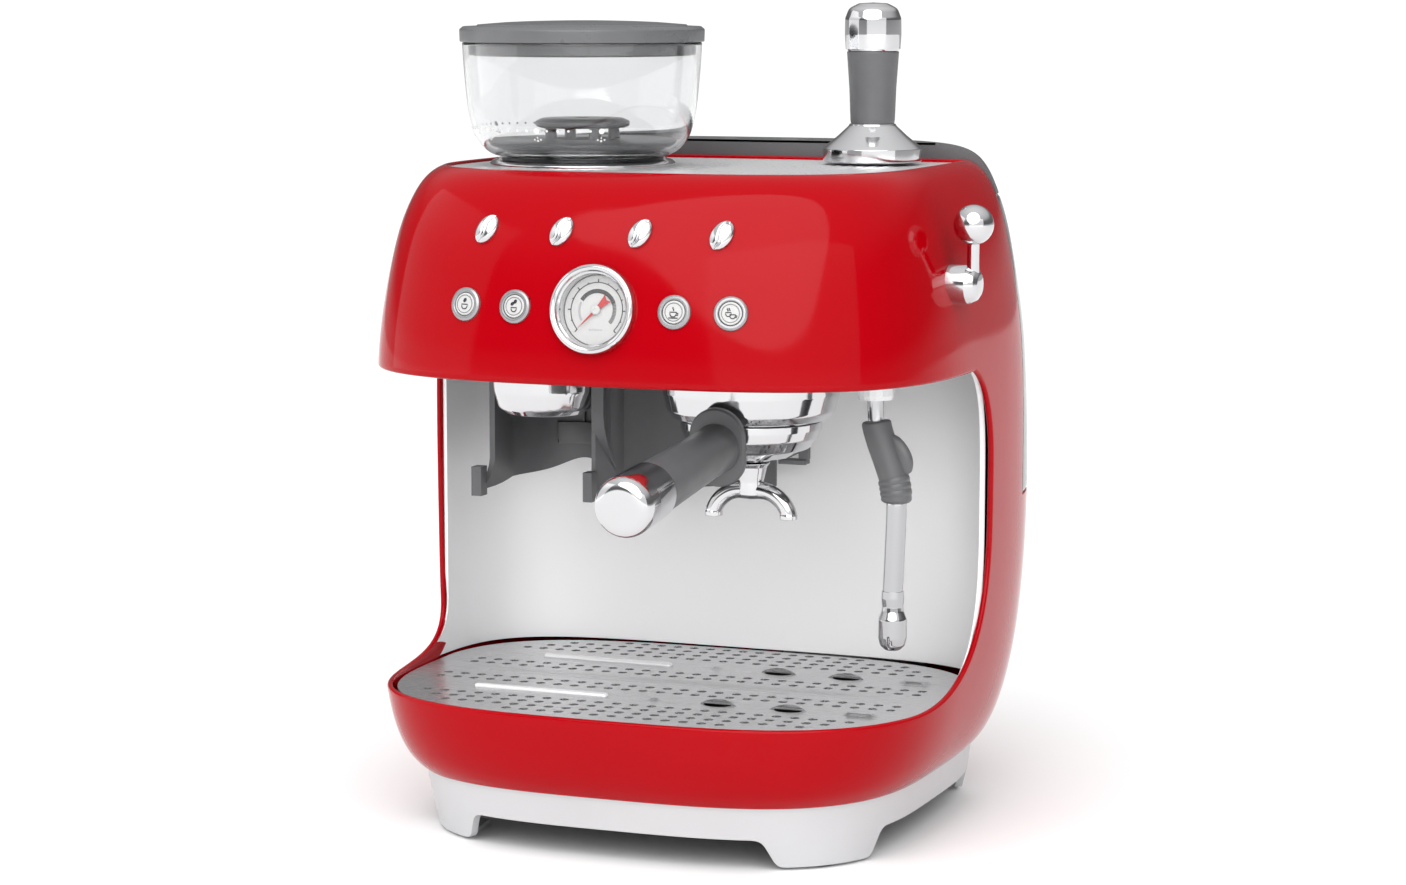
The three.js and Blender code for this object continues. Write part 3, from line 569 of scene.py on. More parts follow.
def plinth():
    plan = arc(17, 0, 2 * math.pi, PLINTH_COUNT + 1, table=PLINTH_TABLE)[:-1]
    angles = []
    for x, y, _ in plan:
        depth, power = (117, FRONT_EXPONENT) if y < 0 else (145, 3.6)
        angles.append(math.atan2(np.sign(y) * abs(y / depth) ** (power / 2), np.sign(x) * abs(x / 127) ** (power / 2)))
    columns = []
    for (x, y, _), angle in zip(plan, angles):
        heights = np.linspace(plinth_lower_edge(x, y), PLINTH_TOP, PLINTH_STEPS)
        columns.append([outline(z, angle, table=PLINTH_TABLE) for z in heights])
    rows = np.array(columns).transpose(1, 0, 2)
    inward = np.stack([-np.cos(angles), -np.sin(angles), np.zeros(PLINTH_COUNT)], 1)
    form = Form().grid(rows, loop=True)
    edge, inner_edge, inner_top = rows[0], rows[0] + inward * PLINTH_WALL, rows[-1] + inward * PLINTH_WALL
    for pair in ((edge, inner_edge), (inner_edge, inner_top), (inner_top, rows[-1])):
        form.grid(pair, loop=True)
    for sx in (-1, 1):
        for sy in (-1, 1):
            foot = [p + v * 2 for p, v in zip(edge, inward)
                    if p[2] < 2.4 and p[0] * sx > 0 and (p[1] - ARCH_MIDDLE) * sy > 0]
            inner = np.array([sx * (ARCH_FRONT + 6), ARCH_MIDDLE + sy * (ARCH_SIDE + 6), SOLE_Z])
            foot.sort(key=lambda p: math.atan2(p[1] - inner[1], (p[0] - inner[0]) * sx))
            loop = np.array([inner] + foot)
            loop[:, 2] = SOLE_Z + 0.1
            upper = loop + [0, 0, 2.4]
            form.cap(loop).cap(upper, True).grid([loop, upper], loop=True)
    return form


TANK_FRONT = SEAM + 1.4
TANK_COUNT, TANK_FRONT_COUNT = 160, 40


def tank_ring(z, inset=0.0, table=BODY_TABLE):
    a = angle_at(TANK_FRONT + inset, z, table)
    back = arc(z, a, math.pi - a, TANK_COUNT, inset, table)
    back[0][1] = back[-1][1] = TANK_FRONT + inset
    front = resample([back[-1], back[0]], TANK_FRONT_COUNT)
    return np.vstack([back, front[1:-1]])


def water_tank():
    outer = [tank_ring(165.8, 1.6), tank_ring(166.2, 0.8), tank_ring(167.2, 0.2), tank_ring(168.4)]
    outer += [tank_ring(z) for z in np.linspace(172, 320, 40)]
    outer += [tank_ring(322.6), tank_ring(323.6, 0.4)]
    inner = [tank_ring(323.6, 2.2), tank_ring(322, 2.6)] + [tank_ring(z, 2.6) for z in np.linspace(318, 172, 24)]
    inner += [tank_ring(169.6, 3.4), tank_ring(168.6, 6)]
    form = Form().grid(outer + inner, loop=True)
    return form.cap(outer[0]).cap(inner[-1], True)


LID_RAISE = 5.4
LID_BODY = BODY.copy()
LID_BODY[:, 0] += np.where(BODY[:, 0] > 324, LID_RAISE * (BODY[:, 0] - 324) / (BODY_TOP - 324), 0)
LID_TABLE = spline_table(LID_BODY)
THUMB_X, THUMB_Y, THUMB_LENGTH, THUMB_WIDTH, THUMB_DEPTH = 17, 108, 13.5, 6.4, 3.2


def tank_lid():
    table = LID_TABLE[LID_TABLE[:, 0] > 326]
    heights = resample(np.column_stack([table[:, 1], table[:, 0]]), 40)[:, 1]
    top = BODY_TOP + LID_RAISE
    heights[-1] = top
    rings = [tank_ring(324.5, 3.6, LID_TABLE), tank_ring(324.5, 0.5, LID_TABLE), tank_ring(325.2, 0.0, LID_TABLE)]
    rings += [tank_ring(z, 0, LID_TABLE) for z in heights]
    form = Form().grid(rings, loop=True)
    last = rings[-1][:, :2]
    t = np.linspace(0, 2 * math.pi, 48, endpoint=False)
    ovals = [np.stack([x + THUMB_LENGTH * np.cos(t), THUMB_Y + THUMB_WIDTH * np.sin(t)], 1)
             for x in (-THUMB_X, THUMB_X)]
    inner_ovals = [o.mean(0) + (o - o.mean(0)) * 0.86 for o in ovals]

    def height(x, y):
        lift = np.zeros_like(x) + top
        for oval in ovals:
            cx, cy = oval.mean(0)
            r = np.sqrt(((x - cx) / THUMB_LENGTH) ** 2 + ((y - cy) / THUMB_WIDTH) ** 2)
            lift -= THUMB_DEPTH * np.clip((1.0 - r) / 0.14, 0, 1) * np.clip(1 - 0.25 * r, 0, 1)
        return lift

    return form.join(pierced_plate(last, [], ovals + inner_ovals, 2.5, height, 1.2))


# ---- top plate -----------------------------------------------------------------------------------------------
HOPPER = (-58.0, -14.0)
PLATE_TOP, EMBOSS, EMBOSS_PITCH = 341.6, 0.6, 6.4
HOLES_FROM, HOLES_WIDE = 54, 22


def plate_outline(inset):
    side = [outline(SHELL_TOP, a, inset)[:2] for a in np.linspace(-math.pi / 2, 0, 60)]
    up = [outline(SHELL_TOP, angle_at(y, SHELL_TOP), inset)[:2] for y in np.linspace(3, STRIP_Y - inset - 6, 24)]
    corner = bezier((*up[-1], 0), (up[-1][0], STRIP_Y - inset - 1, 0), (up[-1][0] - 1, STRIP_Y - inset, 0),
                    (up[-1][0] - 7, STRIP_Y - inset, 0), 8)[1:, :2]
    half = np.vstack([resample(side, 60), up, corner])
    back = resample([half[-1], half[-1] * [-1, 1]], 40)[1:-1]
    return np.vstack([half, back, (half * [-1, 1])[::-1][:-1]])


def cup_warmer():
    holes = [circle(*HOPPER, 38.5, 72)]
    for i in range(-3, 9):
        for j in range(-8, 6):
            x = HOPPER[0] + 56 + i * 6.2 + (j % 2) * 3.1
            y = HOPPER[1] + 6 + j * 5.4
            distance = math.hypot(x - HOPPER[0], y - HOPPER[1])
            if HOLES_FROM < distance < HOLES_FROM + HOLES_WIDE and y < 30:
                holes.append(circle(x, y, 1.5 - 0.02 * (distance - HOLES_FROM), 10))

    def height(x, y):
        u = (x + y * 0.9) / EMBOSS_PITCH
        v = (x - y * 0.9) / EMBOSS_PITCH
        wave = np.cos(math.pi * u) * np.cos(math.pi * v)
        bump = np.clip(wave, 0, 1) ** 0.7
        near = np.min([np.hypot(x - h[:, 0].mean(), y - h[:, 1].mean()) for h in holes[1:]], axis=0)
        inside_edge = np.clip((np.hypot(x - HOPPER[0], y - HOPPER[1]) - 50) / 3, 0, 1)
        border = np.clip((100 - np.abs(x)) / 3, 0, 1) * np.clip((y + 80) / 3, 0, 1) * np.clip((76 - y) / 3, 0, 1)
        return PLATE_TOP + EMBOSS * bump * inside_edge * border * np.clip((near - 2.2) / 1.5, 0, 1)

    return pierced_plate(plate_outline(1.4), holes, [], 1.35, height, 1.6)


# ---- drip grille and tray ------------------------------------------------------------------------------------
GRILLE = dict(y=-29.0, width=146.6, depth=105.2, exponent=3.4, top=74.0)


def bay_outline(width, depth, exponent, z, limit, count):
    """A superellipse that fits the bay's back wall, kept inside the body's section at this height"""
    angles = np.linspace(0, 2 * math.pi, 3000)
    power = 2 / exponent
    x = width * np.sign(np.cos(angles)) * np.abs(np.cos(angles)) ** power
    y = depth * np.sign(np.sin(angles)) * np.abs(np.sin(angles)) ** power + GRILLE["y"]
    inner = body_value(np.stack([x, y, np.full_like(x, z)], 1)) ** (1 / FRONT_EXPONENT)
    scale = np.minimum(1, limit / inner)
    return resample(np.stack([x * scale, y * scale], 1), count + 1)[:-1]


def grille_outline(inset, count):
    return bay_outline(GRILLE["width"] - inset, GRILLE["depth"] - inset, GRILLE["exponent"], 76, 0.966, count)


def bay_ceiling():
    edge = bay_outline(147.6, 106.4, NICHE_EXPONENT, 242, 0.972, 300)
    holes = [circle(*GROUP, 46.8, 96), circle(*OUTLET, 28.6, 72), circle(*WAND, 10.2, 40)]
    return pierced_plate(edge, holes, [], 9, lambda x, y: np.full_like(x, 243.0), 1.5)


# Rows of drain holes: y and the number of holes in the row
HOLE_ROWS = [(69, 15), (59, 21), (49, 23), (39, 25), (0.4, 27), (-9.2, 27), (-41, 27), (-50.6, 27),
             (-85.5, 25), (-95.2, 23), (-104.9, 21), (-114.6, 13)]
HOLE_PITCH, HOLE_RADIUS = 9.6, 2.55
BAND_Y = (18.5, -69.5)


def rounded_bar(x0, x1, y, half, count=8):
    ends = [(x1 - half, y, -math.pi / 2), (x0 + half, y, math.pi / 2)]
    points = []
    for cx, cy, start in ends:
        for t in np.linspace(0, math.pi, count):
            points.append((cx + half * math.cos(start + t), cy + half * math.sin(start + t)))
    return np.array(points)


SLOT_X, SCOOP_X, DIMPLE_X = 115, (39, 77), 4.5


def drip_grille():
    edge = grille_outline(0.0, 300)
    holes = [circle(HOLE_PITCH * (i - (n - 1) / 2), y, HOLE_RADIUS, 14) for y, n in HOLE_ROWS for i in range(n)]
    slots = [rounded_bar(SLOT_X - 9, SLOT_X + 9, y + 1, 4) for y in BAND_Y]
    scoops, dimples = [], []
    for y in BAND_Y:
        for x in SCOOP_X:
            t = np.linspace(math.pi, 2 * math.pi, 14)
            scoops.append(np.stack([x + 7.6 * np.cos(t), y + 1 + 6.2 * np.sin(t)], 1))
        dimples.append(circle(DIMPLE_X, y, 3.4, 16))
    creases = slots + dimples + [rounded_bar(SLOT_X - 7, SLOT_X + 7, y + 1, 2.2) for y in BAND_Y]

    def height(x, y):
        lift = np.full_like(x, GRILLE["top"])
        lift -= 0.9 * np.exp(-((y + 24) / 5.0) ** 2) * np.clip((118 - np.abs(x)) / 30, 0, 1)
        for band in BAND_Y:
            away = np.hypot(np.maximum(np.abs(x - SLOT_X) - 5, 0), y - band - 1)
            lift += 1.5 * np.clip((4 - away) / 1.6, 0, 1)
            away = np.hypot(x - DIMPLE_X, y - band)
            lift += 1.3 * np.sqrt(np.clip(1 - (away / 3.4) ** 2, 0, 1))
            for cx in SCOOP_X:
                dx, dy = (x - cx) / 8.6, (y - band - 1) / 7.2
                dome = np.sqrt(np.clip(1 - dx**2 - dy**2, 0, 1))
                lift += 2.6 * dome * np.where(dy > -0.02, 1, 0)
        return lift

    return pierced_plate(edge, holes + scoops, creases, 2.2, height, 1.1)


def grille_ribs():
    form = Form()
    for y in BAND_Y:
        rings = []
        for inset, z in ((0, 0), (0, 0.7), (0.35, 1.25), (1.0, 1.6), (1.9, 1.7)):
            ring = rounded_bar(-96 + inset, -21 - inset, y, 2.4 - inset, 12)
            rings.append(np.column_stack([ring, np.full(len(ring), GRILLE["top"] - 0.1 + z)]))
        form.grid(rings, loop=True).cap(rings[0], True).cap(rings[-1])
    return form


def drip_tray():
    """The tray under the grille, seen through its holes and when the grille is lifted"""
    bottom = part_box("drip_tray")[0].z / MM
    profile = [(60, bottom + 1.2), (26, bottom + 1.2), (20, bottom + 2.2), (17.5, bottom + 6), (15.4, 66), (9, 69.6),
               (6, 70.2), (3.4, 70.4), (2.6, 71), (3.2, 71.6), (6, 71.8), (10, 71), (17.4, 67.6), (19.6, bottom + 8),
               (23, bottom + 3.6), (28, bottom + 2.6), (60, bottom + 2.6)]
    rings = []
    for inset, z in profile:
        ring = grille_outline(inset, 200)
        rings.append(np.column_stack([ring, np.full(len(ring), z)]))
    return Form().grid(rings, loop=True).cap(rings[0]).cap(rings[-1], True)


# ---- hopper ------------------------------------------------------------------------------------------------
BOWL = [(41, 346.8), (45.5, 347.4), (49.6, 349.6), (52.8, 352.6), (55.4, 356.6), (57.2, 361.4), (58.5, 367),
        (59.6, 374), (60.7, 385), (61.6, 396), (62.1, 404.6)]


def hopper_bowl():
    outer = smooth_line(BOWL, 60)
    tangents = np.gradient(outer, axis=0)
    tangents /= np.linalg.norm(tangents, axis=1)[:, None]
    inner = outer + np.stack([-tangents[:, 1], tangents[:, 0]], 1) * 2.0
    lip = [(62.0, 405.0), (61.1, 405.3), (60.3, 405.0)]
    neck = [(16, 328.4), (18.6, 328.4), (19, 329), (19, 346.2), (20, 346.6)]
    inside_neck = [(17.6, 349.2), (16, 348.4), (16, 329)]
    profile = np.vstack([neck, outer, lip, inner[::-1][:-1], inside_neck, [neck[0]]])
    return lathe(profile, 128).move(*HOPPER, 0)


SCALE_Z, SCALE_STEP, SCALE_BIG = 361.4, 5.6, 6


def hopper_scale():
    """The printed grind scale: dots round the bowl with a larger one at each sixth, and a short mark under those"""
    form = Form()
    bowl = smooth_line(BOWL, 400)
    for i in range(-21, 13):
        angle = math.radians(-124 + i * SCALE_STEP)
        dots = [(0, 0, 0.62)]
        if i % SCALE_BIG == 0:
            dots = [(0, 0, 1.45), (0, -3.4, 0.4), (-1.7, -4.4, 0.45), (1.7, -4.4, 0.45), (0, -5.0, 0.55)]
        for across, up, size in dots:
            ring, raised = [], []
            for t in np.linspace(0, 2 * math.pi, 16, endpoint=False):
                z = SCALE_Z + up + size * math.sin(t)
                radius = float(np.interp(z, bowl[:, 1], bowl[:, 0]))
                a = angle + (across + size * math.cos(t)) / radius
                for line, lift in ((ring, 0.02), (raised, 0.16)):
                    line.append([(radius + lift) * math.cos(a), (radius + lift) * math.sin(a), z])
            form.grid([ring, raised], loop=True).cap(raised).cap(ring, True)
    return form.move(*HOPPER, 0)


def finger_guard():
    base = lathe(rounded([(17.4, 350), (41.5, 350.2, 1), (47.6, 352, 1.5), (49.6, 354.4, 1), (45, 355, 1),
                          (17.4, 355, 1), (17.4, 350)]), 112)
    disc = lathe(rounded([(3.4, 361.2), (22, 361.2, 1), (24.4, 362.2, 1), (24.6, 364.6, 1.2), (21, 366.2, 2),
                          (3.4, 366.4, 0.6), (3.4, 361.2)]), 96)
    for i in range(4):
        a = math.radians(45 + 90 * i)
        post = lathe(rounded([(0, 354), (3.2, 354), (2.8, 362), (0, 362)]), 24)
        disc.join(post.move(17.5 * math.cos(a), 17.5 * math.sin(a), 0))
    return base.join(disc).move(*HOPPER, 0)


LID_RIM, LID_TOP, GRIP_LENGTH, GRIP_WIDTH, GRIP_DEPTH = 405.4, 415.4, 25.0, 10.5, 4.6


def hopper_lid():
    z = LID_RIM
    skirt = lathe(rounded([(55, z + 2), (55, z - 7, 0.5), (56.4, z - 7, 0.4), (58.8, z - 6.4, 0.6), (58.9, z, 0.3),
                           (63.3, z, 0.6), (63.5, z + 6.4, 1.2), (61.6, z + 8.0, 1.4), (54.6, z + 8.3, 0.4),
                           (54, z + 8.9, 0.4), (40, LID_TOP)]), 144)
    angles = np.linspace(0, 2 * math.pi, 160, endpoint=False)
    rows = []
    for r in np.linspace(40, 0.3, 90):
        x, y = r * np.cos(angles), r * np.sin(angles)
        crown = LID_TOP + 1.0 * (1 - (r / 40) ** 2)
        oval = np.sqrt((x / GRIP_LENGTH) ** 2 + (y / GRIP_WIDTH) ** 2)
        dish = GRIP_DEPTH * np.clip((1 - oval) / 0.2, 0, 1) * (1 - 0.3 * np.clip(oval, 0, 1))
        rows.append(np.stack([x, y, crown - dish], 1))
    skirt.grid(rows, loop=True).cap(rows[-1])
    under = lathe([(55, z + 2), (30, z + 2.4), (0.3, z + 2.6)], 144)
    return skirt.join(under).move(*HOPPER, 0)


def hopper_collar():
    return lathe(rounded([(38.6, 338), (38.6, 345, 0.8), (40, 346.4, 0.6), (42.6, 346.4, 0.6), (44.4, 345, 0.5),
                          (46.6, 344.6, 0.8), (48.2, 343.2, 0.6), (48.2, 341), (38.6, 338)]), 128).move(*HOPPER, 0)


# ---- group, portafilter, grinder outlet ---------------------------------------------------------------------
GROUP = (42.0, -30.0)
OUTLET = (-73.0, -30.0)
HANDLE_DROP = 6.45
NECK_Z = 211.4
HANDLE_START, HANDLE_END, HANDLE_TIP = 44.8, 137.0, 173.5


def group_head():
    profile = rounded([(0, 226.2), (36.4, 226.2, 1), (37.2, 216, 0.5), (38.4, 215.6, 0.5), (40.4, 216.4, 1.2),
                       (43.2, 220.2, 4), (45.2, 229, 5), (45.9, 245), (0, 245)], 8)
    return lathe(profile, 128).move(*GROUP, 0)


def portafilter_body():
    profile = rounded([(0, 193.4), (7.5, 193.4), (10.4, 194, 0.6), (12, 195.2, 0.8), (21, 196.2, 5), (29.6, 200.4, 6),
                       (34.6, 206.4, 4), (36.2, 211, 1.5), (36.4, 214.6, 0.8), (35.2, 215.4, 0.4), (35.0, 218.6, 0.6),
                       (31.8, 218.6, 0.4), (31.6, 206, 4), (24, 199, 4), (3.4, 198.2, 0.5), (3.2, 196), (0, 196)], 8)
    body = lathe(profile, 128)
    tip = math.radians(HANDLE_DROP)
    neck = sweep([(0, -r * math.cos(tip), NECK_Z - r * math.sin(tip)) for r in np.linspace(30, 44, 12)],
                 [9.6 - 0.5 * math.sin(t) for t in np.linspace(0, math.pi, 12)], 48)
    return body.join(neck).move(*GROUP, 0)


def along_handle(form):
    """Takes a form made along +Z from the group's axis to the handle's own line"""
    tip = math.radians(90 + HANDLE_DROP)
    turn = [[1, 0, 0], [0, math.cos(tip), -math.sin(tip)], [0, math.sin(tip), math.cos(tip)]]
    return form.turn(turn).move(GROUP[0], GROUP[1], NECK_Z)


def stadium(half, tall, count=20):
    points = [(half * math.cos(t), tall + half * math.sin(t)) for t in np.linspace(0, math.pi, count)]
    points += [(half * math.cos(t), -tall + half * math.sin(t)) for t in np.linspace(math.pi, 2 * math.pi, count)]
    return np.array(points)


def portafilter_handle():
    rings = []
    for grow, z in [(-3, 0), (-0.8, 0), (0, 0.7), (0, 3.2), (-0.8, 4.2), (-2.2, 4.4)]:
        rings.append(np.column_stack([stadium(14.6 + grow, 5.5), np.full(40, HANDLE_START + z)]))
    collar = Form().grid(rings, loop=True).cap(rings[0]).cap(rings[-1], True)
    s = HANDLE_START + 3
    grip = lathe(rounded([(0, s), (12.9, s, 0.3), (12.2, s + 3.4, 2), (12.4, s + 30, 30), (13.5, HANDLE_END - 0.8, 0.4),
                          (13.0, HANDLE_END, 0.3), (0, HANDLE_END)]), 96)
    return along_handle(collar.join(grip))


def handle_cap():
    e, t = HANDLE_END, HANDLE_TIP
    return along_handle(lathe(rounded([(0, e + 0.4), (13.9, e + 0.4, 0.4), (14.4, e + 1.2, 0.4), (14.9, t - 15, 12),
                                       (14.9, t, 12.5), (0, t)], 14), 112))


def spout():
    reach = 19.4
    path = smooth_line([(-reach - 1, 0, 164.7), (-reach - 0.7, 0, 168), (-17, 0, 173), (-11.5, 0, 177), (-5, 0, 178.6),
                        (5, 0, 178.6), (11.5, 0, 177), (17, 0, 173), (reach + 0.7, 0, 168), (reach + 1, 0, 164.7)], 70)
    radii = 4.3 + 0.9 * np.exp(-(path[:, 0] / 6) ** 2)
    arms = sweep(path, radii, 36)
    stem = lathe(rounded([(0, 176), (6.6, 176, 1), (6.4, 183, 2), (8.2, 190.6, 1.5), (10, 193, 0.4), (0, 193)]), 48)
    for side in (-1, 1):
        mouth = rounded([(3.1, 165.4), (3.1, 164.4, 0.2), (4.5, 164.4, 0.3), (4.6, 166.4, 0.6), (4.2, 167.4)])
        arms.join(lathe(mouth, 36).move(side * (reach + 1), 0, 0))
    return arms.join(stem).move(*GROUP, 0)


def lock_tab():
    """The small lever under the rim that marks the locked place"""
    tab = bar(12, 27, 7, 14, 191.6, 194.2)
    block = bar(22.5, 27.5, 8.4, 13.4, 194.0, 200.5)
    return tab.join(block).move(*GROUP, 0)


def outlet_collar():
    return lathe(rounded([(16.6, 216), (17.2, 213.6, 0.6), (20.6, 213.2, 1.6), (24.4, 216.6, 5), (26.8, 225, 12),
                          (27.6, 236, 4), (27.6, 244), (24.4, 244), (23.4, 226, 4), (16.6, 216)], 8), 112
                 ).move(*OUTLET, 0)


CRADLE = dict(x=-73.0, y=-4.0, radius=34.0, wall=3.0, top=237.2, reach=25)


def cradle():
    """A shroud open to the front: its left wall runs forward and flares to a prong, its right wall is shorter"""
    r, wall, reach = CRADLE["radius"], CRADLE["wall"], CRADLE["reach"]
    rows = []
    for z in np.concatenate([np.linspace(CRADLE["top"], 190, 18), np.linspace(188.6, 168.4, 24)]):
        flare = np.clip((190 - z) / 20, 0, 1) ** 2
        back = [(r * math.cos(a), r * math.sin(a)) for a in np.radians(np.linspace(0, 180, 61))]
        right = [(r - (6 + 1.5 * flare) * t ** 2, -reach * t) for t in np.linspace(1, 0.05, 14)]
        left = [(-r - 5.5 * flare * t ** 3 + 1.5 * t * (1 - flare), -reach * t) for t in np.linspace(0.05, 1, 14)]
        row = []
        for x, y in right + back + left:
            low = 171 + 8 * math.exp(-((x + 2) / 17) ** 2) + 3.5 * np.clip((y + 24) / 24, 0, 1)
            row.append((x, y, max(z, low)))
        rows.append(row)
    rows = np.array(rows)
    tangents = np.gradient(rows, axis=1)
    inward = np.stack([-tangents[..., 1], tangents[..., 0], 0 * tangents[..., 0]], 2)
    inward /= np.linalg.norm(inward, axis=2, keepdims=True)
    form = slab(rows, inward * wall)
    for x0, x1 in ((-39.8, -34.2), (24.0, 29.0)):
        form.join(bar(x0, x1, -reach - 7.5, -reach, 168.2, 183.6))
    form.join(lathe([(30.8, 202), (30.8, 192), (25.6, 190.4), (25.0, 192), (27, 202), (30.8, 202)], 60, (28, 122)))
    return form.join(bar(-2.4, -1.4, 28.5, 31.4, 192, CRADLE["top"])).move(CRADLE["x"], CRADLE["y"], 0)


APRON = dict(x=34.0, y=-22.0, radius=78.0, wall=3, end=97)


def group_surround():
    """The curved apron beside the grinder, with the rib down its left edge"""
    cx, cy, r = APRON["x"], APRON["y"], APRON["radius"]
    rows = []
    for z in np.linspace(237.2, 168.4, 30):
        row = []
        start = 186 - 26 * np.clip((214 - z) / 46, 0, 1) ** 1.6
        for a in np.radians(np.linspace(start, APRON["end"], 90)):
            row.append((cx + r * math.cos(a), cy + r * math.sin(a), z))
        rows.append(row)
    rows = np.array(rows)
    radial = (rows - [cx, cy, 0]) * [1, 1, 0]
    radial /= np.linalg.norm(radial, axis=2, keepdims=True)
    form = slab(rows, -radial * APRON["wall"])
    edge = rows[:, 0]
    outward = radial[:, 0]
    along = np.cross(outward, [0, 0, 1])
    rib = np.stack([edge + along * 2.2 + outward * 2.5, edge - along * 2.4 + outward * 2.5,
                    edge - along * 2.4 - outward * 4.4, edge + along * 2.2 - outward * 4.4,
                    edge + along * 2.2 + outward * 2.5])
    form.grid(rib).cap(rib[:4, 0]).cap(rib[:4, -1], True)
    return form


# ---- front panel ---------------------------------------------------------------------------------------------
def panel_spot(x, z=PANEL_Z):
    y = -section(z)[1] * (1 - (abs(x) / section(z)[0]) ** FRONT_EXPONENT) ** (1 / FRONT_EXPONENT)
    place = np.array([x, y, z])
    normal = body_normal(place[None])[0]
    across = np.cross([0, 0, 1.0], normal)
    across /= np.linalg.norm(across)
    upward = np.cross(normal, across)
    return place, np.stack([across, upward, normal], 1)


def clear_under(form, spots):
    """Drops the faces within each (place, radius); the trim ring over it covers the edge that is left"""
    points = form.array()
    near = np.zeros(len(points), bool)
    for place, radius in spots:
        near |= np.linalg.norm(points - place, axis=1) < radius
    form.faces = [face for face in form.faces if not any(near[i] for i in face)]
    return form


def on_panel(form, spot, lift=0.0, spin=0.0):
    place, axes = spot
    c, s = math.cos(spin), math.sin(spin)
    form.turn([[c, -s, 0], [s, c, 0], [0, 0, 1]])
    return form.turn(axes).move(*(place + axes[:, 2] * lift))


GAUGE = panel_spot(0.0)


def gauge_bezel():
    return on_panel(lathe(rounded([(17.4, -9), (17.4, 1.8, 0.6), (18.4, 2.6, 0.5), (19.0, 3.9, 0.8), (20.4, 4.5, 0.8),
                                   (21.8, 3.6, 1.2), (22.2, 1.4, 0.6), (22.2, 0.2), (19.6, 0.2), (19.6, -9),
                                   (17.4, -9)]), 128), GAUGE)


def gauge_dial():
    profile = rounded([(0, -8.6), (17.2, -8.6, 0.3), (17.2, -4.2, 0.3), (16.6, -4.0), (0, -4.0)])
    return on_panel(lathe(profile, 96), GAUGE)


def arc_line(radius, start, end, count=60):
    t = np.radians(np.linspace(start, end, count))
    return np.stack([radius * np.cos(t), radius * np.sin(t)], 1)


# The printed lines' zero, just over the dial's face
DIAL = -3.98


def gauge_marks():
    thin = ribbon(arc_line(13.6, 225, -45, 120), 0.5)
    for i, a in enumerate(np.linspace(225, -45, 13)):
        thin.join(ribbon(np.array([[13.6, 0], [14.4 + (0.8 if i % 2 == 0 else 0), 0]]) @ rotation(a), 0.6))
    thin.join(ribbon(arc_line(9.4, 150, 22, 60), 2.1))
    for a in np.linspace(20, -38, 15):
        thin.join(ribbon(np.array([[8.4, 0], [10.4, 0]]) @ rotation(a), 0.42))
    return on_panel(thin, GAUGE, DIAL)


def gauge_shades():
    form = ribbon(arc_line(9.2, 214, 156, 40), 1.1)
    for dx in (-3, -1.5, 0, 1.5, 3):
        form.join(ribbon([[dx - 0.4, -9.6], [dx + 0.4, -9.6]], 0.8))
    return on_panel(form, GAUGE, DIAL)


def rotation(degrees):
    a = math.radians(degrees)
    return np.array([[math.cos(a), math.sin(a)], [-math.sin(a), math.cos(a)]])


def gauge_needle():
    blade = [(12.6, 0), (0, 0.75), (-2.6, 1.1), (-6.6, 1.9), (-8.4, 2.4), (-7.2, 0), (-8.4, -2.4), (-6.6, -1.9),
             (-2.6, -1.1), (0, -0.75)]
    flat = np.column_stack([blade, np.full(len(blade), -3.0)])
    top = flat + [0, 0, 0.5]
    form = Form().grid([flat, top], loop=True).cap(flat, True).cap(top)
    return on_panel(form, GAUGE, 0, math.radians(225))


def needle_hub():
    return on_panel(lathe(rounded([(0, -3.6), (2.3, -3.6), (2.3, -2.1, 0.4), (1.7, -1.7, 0.4), (0.8, -1.7), (0.6, -2.1),
                                   (0, -2.1)]), 40), GAUGE)


def gauge_lens():
    return on_panel(lathe(rounded([(0, 0.7), (17.2, 0.5), (17.2, 1.5, 0.3), (12, 2.0, 12), (0, 2.3)]), 96), GAUGE)


BUTTON_X = (-69.9, -42.0, 42.0, 69.9)


def button_ring(spot):
    return on_panel(lathe(rounded([(5.85, -6), (5.85, 1.2, 0.3), (6.3, 1.75, 0.3), (7.3, 1.75, 0.5), (8.3, 1.0, 0.5),
                                   (8.4, -0.4), (7.2, -0.4), (7.2, -6), (5.85, -6)]), 72), spot)


def push_button(spot):
    return on_panel(lathe(rounded([(0, -3.4), (5.6, -3.4), (5.6, 1.3, 0.5), (4.9, 1.5, 0.5), (4.6, 1.32, 0.2),
                                   (0, 1.42)]), 72), spot)


